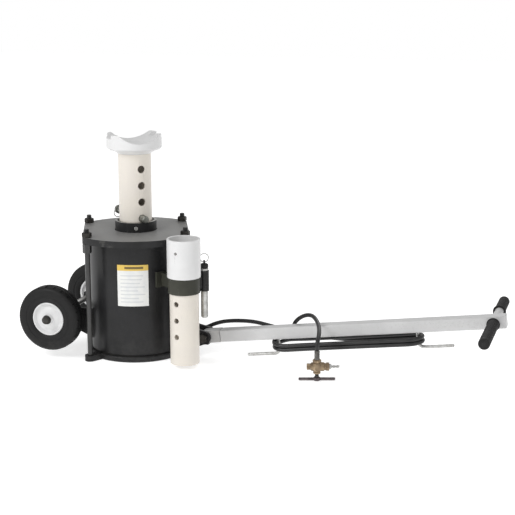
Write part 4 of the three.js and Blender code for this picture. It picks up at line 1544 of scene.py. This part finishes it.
@dataclass
class Storage:
    """Extension tube in its band, and the spare pin in its holder."""

    tube_wall: float = 6.2 * MM
    hole: float = 8.3 * MM
    pitch: float = 50.8 * MM
    hole_turn: float = math.radians(-103.0)
    bleed_turn: float = math.radians(-98.0)
    gap: float = 0.3 * MM

    def tube(self) -> None:
        """Drilled tube and the sleeve at its top."""
        inner_span, outer_span = Span.of("extension_tube"), Span.of("extension_sleeve")
        at = outer_span.at
        outer = (inner_span.high.y - inner_span.low.y) / 2
        inner = outer - self.tube_wall
        low = inner_span.low.z
        tube = turned([(inner, low), (outer, low), (outer, inner_span.high.z), (inner, inner_span.high.z)],
                      at=at, hollow=True)
        away = Vector((math.cos(self.hole_turn), math.sin(self.hole_turn), 0.0)) * 0.06
        for step in range(3):
            middle = Vector((*at, 102.5 * MM + step * self.pitch))
            cut(tube, peg(self.hole, middle - away, middle + away, 40))
        tube = softened(tube, 0.9 * MM, 2, 40)
        dressed(tube, "extension_tube_look", Body.EXTENSION, CREAM, "extension_tube")

        wide = (outer_span.high.y - outer_span.low.y) / 2
        bore = outer + self.gap
        out = Vector((math.cos(self.bleed_turn), math.sin(self.bleed_turn), 0.0))
        middle = Vector((*at, 360 * MM))
        sleeve = turned([(bore, outer_span.low.z), (wide, outer_span.low.z), (wide, middle.z - 7 * MM),
                         (wide, middle.z + 7 * MM), (wide, outer_span.high.z), (bore, outer_span.high.z)],
                        at=at, hollow=True)
        sleeve = cut(softened(sleeve, 1.6 * MM, 3, 40), peg(5 * MM, middle, middle + out * 0.07, 32))
        dressed(sleeve, "extension_sleeve_look", Body.EXTENSION, WHITE, "extension_sleeve")

    def band(self) -> None:
        """Band round the tube with its arm and pad on the drum."""
        span, tube = Span.of("extension_band"), Span.of("extension_tube")
        at = Span.of("extension_sleeve").at
        bore = (tube.high.y - tube.low.y) / 2 + self.gap
        low, high = span.low.z, span.high.z
        shell = Span.of("cylinder_shell").high.y
        reach = math.hypot(*at)
        turn = Matrix.Rotation(math.atan2(at[1], at[0]), 4, "Z")
        band = turned([(bore - 4 * MM, low), (bore + 3.7 * MM, low), (bore + 3.7 * MM, high),
                       (bore - 4 * MM, high)],
                      at=at, hollow=True)
        arm = placed(block((shell, -14 * MM, low + 4 * MM), (reach - bore, 14 * MM, high - 4 * MM)), turn)
        pad = placed(block((shell - 8 * MM, -32 * MM, low), (shell + 4 * MM, 32 * MM, high)), turn)
        made = fused(band, arm, pad)
        made = cut(made, turned([(bore, low - MM), (bore, high + MM)], at=at),
                   turned([(shell + self.gap, low - MM), (shell + self.gap, high + MM)], sides=160))
        made = softened(made, 1.2 * MM, 3, 40)
        dressed(made, "extension_band_look", Body.CYLINDER, OLIVE, "extension_band")

    def holder(self) -> None:
        """Tube that holds the spare pin, on a web from the band."""
        made = from_frame("pin_holder", 0.6 * MM)
        dressed(made, "pin_holder_look", Body.CYLINDER, BLACK, "pin_holder")

    def spare(self) -> None:
        """Spare pin with its moulded knob and pull ring."""
        pin, knob, loop = Span.of("spare_pin"), Span.of("spare_knob"), Span.of("spare_ring")
        at, low, high, r = pin.at, pin.low.z, pin.high.z, 11 * MM
        shank = turned([(r - 3 * MM, low), (r, low + 3.5 * MM), (r, high - 5 * MM), (13 * MM, high - 5 * MM),
                        (13 * MM, high)], at=at, sides=FINE)
        dressed(softened(shank, 0.7 * MM), "spare_pin_look", Body.SPARE, PLATED, "spare_pin")
        base = knob.low.z
        cap = turned([(10 * MM, base), (12.5 * MM, base + 3 * MM), (12.5 * MM, base + 10 * MM),
                      (9 * MM, base + 14 * MM)], sides=FINE)
        tab = block((-6 * MM, -2.5 * MM, base + 12 * MM), (6 * MM, 2.5 * MM, knob.high.z))
        eye = peg(3 * MM, (0.0, -0.01, base + 18.5 * MM), (0.0, 0.01, base + 18.5 * MM), 24)
        made = softened(cut(fused(cap, tab), eye), 1.2 * MM, 3, 40)
        turn = Matrix.Translation((*at, 0.0)) @ Matrix.Rotation(math.radians(113.5), 4, "Z")
        dressed(placed(made, turn), "spare_knob_look", Body.SPARE, SEAL, "spare_knob")
        plane = Matrix.Translation(loop.centre) @ Matrix.Rotation(math.radians(23.5), 4, "Z")
        ring = placed(wire_ring(13 * MM, 1.5 * MM), plane @ Matrix.Rotation(math.pi / 2, 4, "X"))
        dressed(ring, "spare_ring_look", Body.SPARE_RING, PLATED, "spare_ring")

    def build(self) -> None:
        """Builds the whole sub-assembly."""
        self.tube()
        self.band()
        self.holder()
        self.spare()


# ---------------------------------------------------------------------- running gear


@dataclass
class RunningGear:
    """Axle, its brackets, and two solid-tyred wheels."""

    radius: float = 101.5 * MM
    hub: float = 52 * MM
    axle: float = 9.5 * MM
    inner: float = 139.5 * MM
    outer: float = 194.5 * MM
    lugs: int = 48

    def on_axle(self, sign: float) -> Matrix:
        """Matrix that lays a piece turned about Z along the axle, outward on one side."""
        centre = Span.of("axle").centre
        return toward((0.0, sign, 0.0), (centre.x, 0.0, centre.z))

    def tyre(self) -> Object:
        """Tyre with rounded shoulders, two tread grooves and shallow side ribs."""
        r, a, b = self.radius, self.inner, self.outer
        m = (a + b) / 2
        profile = [
            (self.hub + 0.3 * MM, a + 6 * MM), (58 * MM, a + 1.8 * MM), (66 * MM, a + 0.8 * MM),
            (68 * MM, a + 1.8 * MM),
            (72 * MM, a + 1.8 * MM), (74 * MM, a + 0.4 * MM), (r - 14 * MM, a), (r - 7 * MM, a + 2.2 * MM),
            (r - 3 * MM, a + 6.5 * MM), (r - 0.8 * MM, a + 12 * MM), (r, m - 10 * MM),
            (r - 2.6 * MM, m - 9.4 * MM),
            (r - 2.6 * MM, m - 6.8 * MM), (r, m - 6.2 * MM), (r, m + 6.2 * MM), (r - 2.6 * MM, m + 6.8 * MM),
            (r - 2.6 * MM, m + 9.4 * MM), (r, m + 10 * MM), (r - 0.8 * MM, b - 12 * MM),
            (r - 3 * MM, b - 6.5 * MM),
            (r - 7 * MM, b - 2.2 * MM), (r - 14 * MM, b), (74 * MM, b - 0.4 * MM), (72 * MM, b - 1.8 * MM),
            (68 * MM, b - 1.8 * MM), (66 * MM, b - 0.8 * MM), (58 * MM, b - 1.8 * MM),
            (self.hub + 0.3 * MM, b - 6 * MM),
        ]
        made = turned(profile, hollow=True, sides=2 * self.lugs)
        shoulders = ((a + 6.5 * MM, m - 10 * MM), (m + 10 * MM, b - 6.5 * MM))
        with editing(made):
            bpy.ops.mesh.select_all(action="DESELECT")
        for face in made.data.polygons:
            c = face.center
            step = int((math.atan2(c.y, c.x) + math.pi) / (math.pi / self.lugs))
            in_band = any(lo < c.z < hi for lo, hi in shoulders)
            face.select = step % 4 == 0 and in_band and math.hypot(c.x, c.y) > r - 6 * MM
        with editing(made):
            bpy.ops.mesh.select_mode(type="FACE")
            bpy.ops.mesh.inset(thickness=0.6 * MM, depth=-2.0 * MM)
            bpy.ops.mesh.select_mode(type="VERT")
            bpy.ops.mesh.select_all(action="SELECT")
            bpy.ops.mesh.normals_make_consistent(inside=False)
        return made

    def wheel_hub(self) -> Object:
        """Pressed hub: rolled rim, dished web and a centre tube."""
        a, b, bore = self.inner, self.outer, self.axle + 0.4 * MM
        profile = [
            (bore, 108.6 * MM), (16 * MM, 108.6 * MM), (16 * MM, a + 16 * MM), (44 * MM, a + 16 * MM),
            (46 * MM, a + 6 * MM), (self.hub, a + 6 * MM), (self.hub, b - 6 * MM), (50 * MM, b - 4.6 * MM),
            (47.5 * MM, b - 5.2 * MM), (46.5 * MM, b - 9 * MM), (42 * MM, b - 14 * MM),
            (36 * MM, b - 15.5 * MM),
            (31 * MM, b - 13 * MM), (24 * MM, b - 10 * MM), (18 * MM, b - 9 * MM), (16.2 * MM, b - 6 * MM),
            (16 * MM, b + 1 * MM), (bore, b + 1 * MM),
        ]
        return softened(turned(profile, hollow=True), 0.7 * MM, 2, 35)

    def cap(self) -> Object:
        """Press-on axle cap with a rolled lip."""
        b, end = self.outer, Span.of("axle_cap_far").high.y
        bore = self.axle + 0.3 * MM
        return turned([
            (bore, b + 1.4 * MM), (13 * MM, b + 1.4 * MM), (14 * MM, b + 2.4 * MM), (14 * MM, b + 4 * MM),
            (12.4 * MM, b + 5.4 * MM), (12 * MM, end - 3 * MM), (10.5 * MM, end - 0.6 * MM), (6 * MM, end),
            (0.4 * MM, end),
        ], sides=FINE)

    def build(self) -> None:
        """Builds the axle, the brackets and both wheels."""
        span = Span.of("axle")
        centre = span.centre
        axle = peg(self.axle, (centre.x, span.low.y, centre.z), (centre.x, span.high.y, centre.z))
        dressed(softened(axle, 1.5 * MM, 3, 40), "axle_look", Body.CYLINDER, PLATED, "axle")
        sides = (("near", -1.0, Body.WHEEL_NEAR), ("far", 1.0, Body.WHEEL_FAR))
        for side, sign, body in sides:
            bracket = from_frame(f"axle_bracket_{side}", 1.2 * MM)
            dressed(bracket, f"axle_bracket_{side}_look", Body.CYLINDER, BLACK, f"axle_bracket_{side}")
        makers = ((self.tyre, "tyre", TYRE), (self.wheel_hub, "hub", WHITE), (self.cap, "axle_cap", DARK))
        for make, word, finish in makers:
            model = make()
            for side, sign, body in sides:
                made = placed(copied(model, (0.0, 0.0, 0.0)), self.on_axle(sign))
                rides = Body.CYLINDER if word == "axle_cap" else body
                dressed(made, f"{word}_{side}_look", rides, finish, f"{word}_{side}")
            bpy.data.objects.remove(model)


# ---------------------------------------------------------------------- tow handle


@dataclass
class TowHandle:
    """Pivot bracket, stub, square bar, cross tube, grips and hose hooks."""

    frame: HandleFrame
    half: float = 19 * MM
    stub_end: float = 50 * MM
    bar_end: float = 931 * MM
    tee: float = 896 * MM
    tee_radius: float = 12.7 * MM
    grip: float = 16.5 * MM
    hook: float = 5 * MM
    hook_drop: float = 67 * MM
    hook_reach: float = 105 * MM
    hook_bend: float = 16 * MM

    def pivot(self) -> None:
        """Bracket on the drum with its pivot bolt, washer and nut."""
        bracket = from_frame("handle_bracket", 1.4 * MM, 3)
        dressed(bracket, "handle_bracket_look", Body.CYLINDER, BLACK, "handle_bracket")
        bolt, nut = Span.of("pivot_bolt"), Span.of("pivot_nut")
        line = toward((0.0, 1.0, 0.0), (bolt.centre.x, 0.0, bolt.centre.z))
        head = hexagonal(24 * MM, bolt.low.y, bolt.low.y + 9.7 * MM)
        threads = [(8 * MM, bolt.low.y + 9 * MM), (8 * MM, nut.low.y)]
        z = nut.low.y
        while z + 2 * MM < bolt.high.y:
            threads += [(7.2 * MM, z + 1 * MM), (8 * MM, z + 2 * MM)]
            z += 2 * MM
        threads.append((6.5 * MM, bolt.high.y))
        dressed(placed(fused(head, turned(threads, sides=40)), line), "pivot_bolt_look", Body.CYLINDER, BOLT,
                "pivot_bolt")
        made = hexagonal(24 * MM, nut.low.y, nut.high.y, bore=8.2 * MM)
        dressed(placed(made, line), "pivot_nut_look", Body.CYLINDER, BOLT, "pivot_nut")

    def bar(self) -> None:
        """Silver-white stub and square bar."""
        matrix = self.frame.matrix()
        stub = block((0.0, -self.half, -self.half), (self.stub_end, self.half, self.half))
        nose = peg(self.half, (0.0, -self.half, 0.0), (0.0, self.half, 0.0), 64)
        bore = peg(8.3 * MM, (0.0, -0.03, 0.0), (0.0, 0.03, 0.0), 40)
        stub = softened(cut(fused(stub, nose), bore), 1.5 * MM, 3, 40)
        spigot = block((self.stub_end - 4 * MM, -15.7 * MM, -15.7 * MM),
                       (self.stub_end + 55 * MM, 15.7 * MM, 15.7 * MM))
        dressed(placed(fused(stub, spigot), matrix), "handle_stub_look", Body.HANDLE, SILVER, "handle_stub")

        bar = block((self.stub_end + 0.3 * MM, -self.half, -self.half), (self.bar_end, self.half, self.half))
        bar = softened(bar, 3.5 * MM, 4, 40)
        tunnel = block((self.stub_end - 4 * MM, -16 * MM, -16 * MM),
                       (self.bar_end - 4 * MM, 16 * MM, 16 * MM))
        through = peg(self.tee_radius + 0.3 * MM, (self.tee, -0.03, 0.0), (self.tee, 0.03, 0.0), 64)
        bar = cut(bar, tunnel, through)
        dressed(placed(bar, matrix), "handle_bar_look", Body.HANDLE, SILVER, "handle_bar")

    def tee_bar(self) -> None:
        """Cross tube with a weld bead on each side of the bar."""
        matrix = self.frame.matrix()
        reach = Span.of("tee_bar").high.y
        tube = softened(peg(self.tee_radius, (self.tee, -reach, 0.0), (self.tee, reach, 0.0), 64), 1.0 * MM)
        dressed(placed(tube, matrix), "tee_bar_look", Body.HANDLE, SILVER, "tee_bar")
        for side, sign in (("near", -1.0), ("far", 1.0)):
            bead = weld_bead(self.tee_radius + 1.2 * MM, 2.2 * MM)
            beside = Matrix.Translation((self.tee, sign * (self.half + 0.6 * MM), 0.0))
            where = beside @ Matrix.Rotation(math.pi / 2, 4, "X")
            dressed(placed(bead, matrix @ where), f"tee_weld_{side}", Body.HANDLE, SILVER)

    def grips(self) -> None:
        """Ribbed rubber grips with a stop flange at the inner end."""
        r, bore = self.grip, self.tee_radius + 0.3 * MM
        for side, sign in (("near", -1.0), ("far", 1.0)):
            span = Span.of(f"grip_{side}")
            first, last = sorted((abs(span.low.y), abs(span.high.y)))
            profile = [(bore, first), (r + 2.4 * MM, first), (r + 3 * MM, first + 1 * MM),
                       (r + 3 * MM, first + 4 * MM), (r + 1 * MM, first + 5.5 * MM), (r, first + 7 * MM)]
            z = first + 12 * MM
            while z < last - 14 * MM:
                profile += [(r, z), (r - 1.1 * MM, z + 0.8 * MM), (r - 1.1 * MM, z + 1.8 * MM),
                            (r, z + 2.6 * MM)]
                z += 6 * MM
            profile += [(r, last - 4 * MM), (r - 1.2 * MM, last - 1.2 * MM), (r - 4 * MM, last),
                        (0.6 * MM, last),
                        (0.6 * MM, last - 5.6 * MM), (bore, last - 5.6 * MM)]
            made = turned(profile, hollow=True, sides=FINE)
            line = self.frame.matrix() @ toward((0.0, sign, 0.0), (self.tee, 0.0, 0.0))
            dressed(placed(made, line), f"grip_{side}_look", Body.HANDLE, GRIP, f"grip_{side}")

    def hooks(self) -> None:
        """Two bent rods under the bar: a straight leg, a spun bend and a long foot."""
        for name, s, out in (("inner", 233 * MM, -1.0), ("outer", 667 * MM, 1.0)):
            clear_selection()
            top = -self.half - 0.3 * MM
            bend = -self.hook_drop + self.hook_bend
            bpy.ops.mesh.primitive_circle_add(vertices=24, radius=self.hook, fill_type="NGON",
                                              location=(s, 0.0, top), enter_editmode=True)
            bpy.ops.mesh.extrude_region_move(TRANSFORM_OT_translate={"value": (0.0, 0.0, bend - top)})
            bpy.ops.mesh.spin(steps=12, angle=out * math.pi / 2, axis=(0.0, 1.0, 0.0),
                              center=(s + out * self.hook_bend, 0.0, bend))
            foot = self.hook_reach - self.hook_bend - 2 * MM
            bpy.ops.mesh.extrude_region_move(TRANSFORM_OT_translate={"value": (out * foot, 0.0, 0.0)})
            tip = (s + out * (self.hook_reach), 0.0, -self.hook_drop)
            bpy.ops.mesh.extrude_region_move(TRANSFORM_OT_translate={"value": (out * 2 * MM, 0.0, 0.0)})
            bpy.ops.transform.resize(value=(1.0, 0.65, 0.65), center_override=tip)
            bpy.ops.object.mode_set(mode="OBJECT")
            made = placed(tidied(rest_at_origin(bpy.context.object)), self.frame.matrix())
            dressed(made, f"hose_hook_{name}_look", Body.HANDLE, PLATED, f"hose_hook_{name}")
            bead = weld_bead(self.hook + 0.4 * MM, 1.6 * MM)
            where = self.frame.matrix() @ Matrix.Translation((s, 0.0, top - 0.4 * MM))
            dressed(placed(bead, where), f"hook_weld_{name}", Body.HANDLE, PLATED)

    def build(self) -> None:
        """Builds the whole sub-assembly."""
        self.pivot()
        self.bar()
        self.tee_bar()
        self.grips()
        self.hooks()


# ---------------------------------------------------------------------- hand air valve


@dataclass
class AirValve:
    """Hand valve under the hose: crimped ferrule, brass body, air plug and T-lever."""

    turn: float = math.radians(17.8)

    def matrix(self) -> Matrix:
        """Matrix from the valve's own frame to the row frame."""
        at = Span.of("hose_ferrule").at
        return Matrix.Translation((*at, 43 * MM)) @ Matrix.Rotation(self.turn, 4, "Z")

    def along(self, profile: Profile, sign: float = 1.0, sides: int = 40) -> Object:
        """Piece turned about the valve's cross axis."""
        return placed(turned(profile, sides=sides), toward((sign, 0.0, 0.0), (0.0, 0.0, 0.0)))

    def ferrule(self) -> Object:
        """Steel ferrule with three crimp grooves."""
        profile = [(3.4 * MM, 22.3 * MM), (8 * MM, 22.3 * MM), (8 * MM, 25 * MM)]
        for step in range(3):
            z = (27 + 6 * step) * MM
            profile += [(8 * MM, z), (7.1 * MM, z + 1.2 * MM), (7.1 * MM, z + 2.8 * MM), (8 * MM, z + 4 * MM)]
        profile += [(8 * MM, 46.6 * MM), (7.2 * MM, 48 * MM), (3.4 * MM, 48 * MM)]
        made = placed(turned(profile, hollow=True, sides=FINE), self.matrix())
        return dressed(made, "hose_ferrule_look", Body.HANDLE, CRIMPED, "hose_ferrule")

    def valve(self) -> Object:
        """Cast brass body with bosses, hexes and a tapered outlet."""
        core = turned([
            (8.5 * MM, -21 * MM), (11 * MM, -20 * MM), (11 * MM, -16 * MM), (9.6 * MM, -15 * MM),
            (10.4 * MM, -12.5 * MM), (14 * MM, -11 * MM), (16.5 * MM, -6 * MM), (16.5 * MM, 6 * MM),
            (14.5 * MM, 11 * MM), (11 * MM, 13 * MM), (11 * MM, 15 * MM),
        ], sides=FINE)
        top = hexagonal(22 * MM, 14 * MM, 22 * MM, turn=30.0)
        left = self.along([(13 * MM, 0.0), (12.5 * MM, 16 * MM), (10 * MM, 18 * MM), (8 * MM, 21 * MM)], -1.0)
        cap = placed(hexagonal(17 * MM, 20 * MM, 30 * MM, turn=30.0),
                     toward((-1.0, 0.0, 0.0), (0.0, 0.0, 0.0)))
        right = self.along([(13.5 * MM, 0.0), (13 * MM, 20 * MM), (10.5 * MM, 23 * MM), (10.5 * MM, 27 * MM)])
        collar = placed(hexagonal(22 * MM, 26 * MM, 36 * MM, turn=30.0),
                        toward((1.0, 0.0, 0.0), (0.0, 0.0, 0.0)))
        body = fused(core, top, left, cap, right, collar)
        inlet = turned([(3.2 * MM, 0.0), (3.2 * MM, 23 * MM)], sides=24)
        outlet = self.along([(4.6 * MM, 10 * MM), (4.6 * MM, 40 * MM)])
        stem = turned([(6.3 * MM, -22 * MM), (6.3 * MM, -6 * MM)], sides=32)
        body = softened(cut(body, inlet, outlet, stem), 0.5 * MM, 2, 35)
        return dressed(placed(body, self.matrix()), "valve_body_look", Body.HANDLE, BRASS, "valve_body")

    def plug(self) -> Object:
        """Hardened quick-connect air plug with a hexagon."""
        nose = self.along([
            (4.3 * MM, 14 * MM), (4.3 * MM, 43 * MM), (3.2 * MM, 44 * MM), (3.2 * MM, 46 * MM),
            (4.3 * MM, 47.2 * MM),
            (4.3 * MM, 51 * MM), (3.2 * MM, 52.5 * MM), (3.2 * MM, 57 * MM), (4.3 * MM, 58.4 * MM),
            (4.3 * MM, 63 * MM), (3.6 * MM, 66 * MM), (1.8 * MM, 66 * MM), (1.8 * MM, 60 * MM),
        ])
        grip = placed(hexagonal(14 * MM, 36.3 * MM, 42.3 * MM, turn=30.0),
                      toward((1.0, 0.0, 0.0), (0.0, 0.0, 0.0)))
        made = placed(fused(nose, grip), self.matrix())
        return dressed(made, "valve_plug_look", Body.HANDLE, PLATED, "valve_plug")

    def lever(self) -> list[Object]:
        """Valve stem and the flat T-lever on its foot."""
        stem = turned([(6 * MM, -31.5 * MM), (6 * MM, -27 * MM), (5.2 * MM, -26.3 * MM),
                       (5.2 * MM, -24.6 * MM),
                       (6 * MM, -24 * MM), (6 * MM, -6.3 * MM)], sides=32)
        bar = softened(block((-54 * MM, -5 * MM, -41 * MM), (54 * MM, 5 * MM, -34 * MM)), 2.2 * MM, 4, 40)
        boss = turned([(9 * MM, -42 * MM), (10 * MM, -41 * MM), (10 * MM, -33 * MM), (8.6 * MM, -31.8 * MM)],
                      sides=FINE)
        lever = softened(fused(bar, boss), 0.5 * MM, 2, 45)
        pieces = ((stem, "valve_stem", DARK), (lever, "valve_lever", LEVER))
        return [dressed(placed(obj, self.matrix()), f"{node}_look", Body.VALVE_LEVER, finish, node)
                for obj, node, finish in pieces]

    def inlet(self) -> Object:
        """Brass hose tail that is screwed into the drum."""
        span = Span.of("inlet_fitting")
        start, end = span.low.x, span.high.x
        line = toward((1.0, 0.0, 0.0), (0.0, span.centre.y, span.centre.z))
        shell = Span.of("cylinder_shell").high.y
        stub = placed(turned([
            (7.6 * MM, start), (7.6 * MM, shell + 10 * MM), (7 * MM, shell + 10.5 * MM),
            (7 * MM, end - 22 * MM), (6.2 * MM, end - 20 * MM), (7 * MM, end - 16 * MM),
            (6.2 * MM, end - 14 * MM), (7 * MM, end - 10 * MM),
            (7 * MM, end),
        ], sides=40), line)
        nut = placed(hexagonal(19 * MM, shell - 1 * MM, shell + 11 * MM, turn=30.0), line)
        return dressed(fused(stub, nut), "inlet_fitting_look", Body.CYLINDER, BRASS, "inlet_fitting")

    def build(self) -> list[Object]:
        """Builds the valve.

        Returns:
            The pieces that go with the hose.
        """
        self.inlet()
        return [self.ferrule(), self.valve(), self.plug(), *self.lever()]


# ---------------------------------------------------------------------- assembly


def main() -> None:
    """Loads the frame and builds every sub-assembly in order."""
    logging.basicConfig(level=logging.INFO, format="%(message)s")
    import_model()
    studio = Studio()
    studio.camera()
    handle = HandleFrame()
    valve_pieces = AirValve().build()
    AirHose(handle).build(valve_pieces)
    studio.room()
    AirCylinder().build()
    Ram().build()
    Post().build()
    Storage().build()
    RunningGear().build()
    TowHandle(handle).build()


if __name__ == "__main__":
    main()
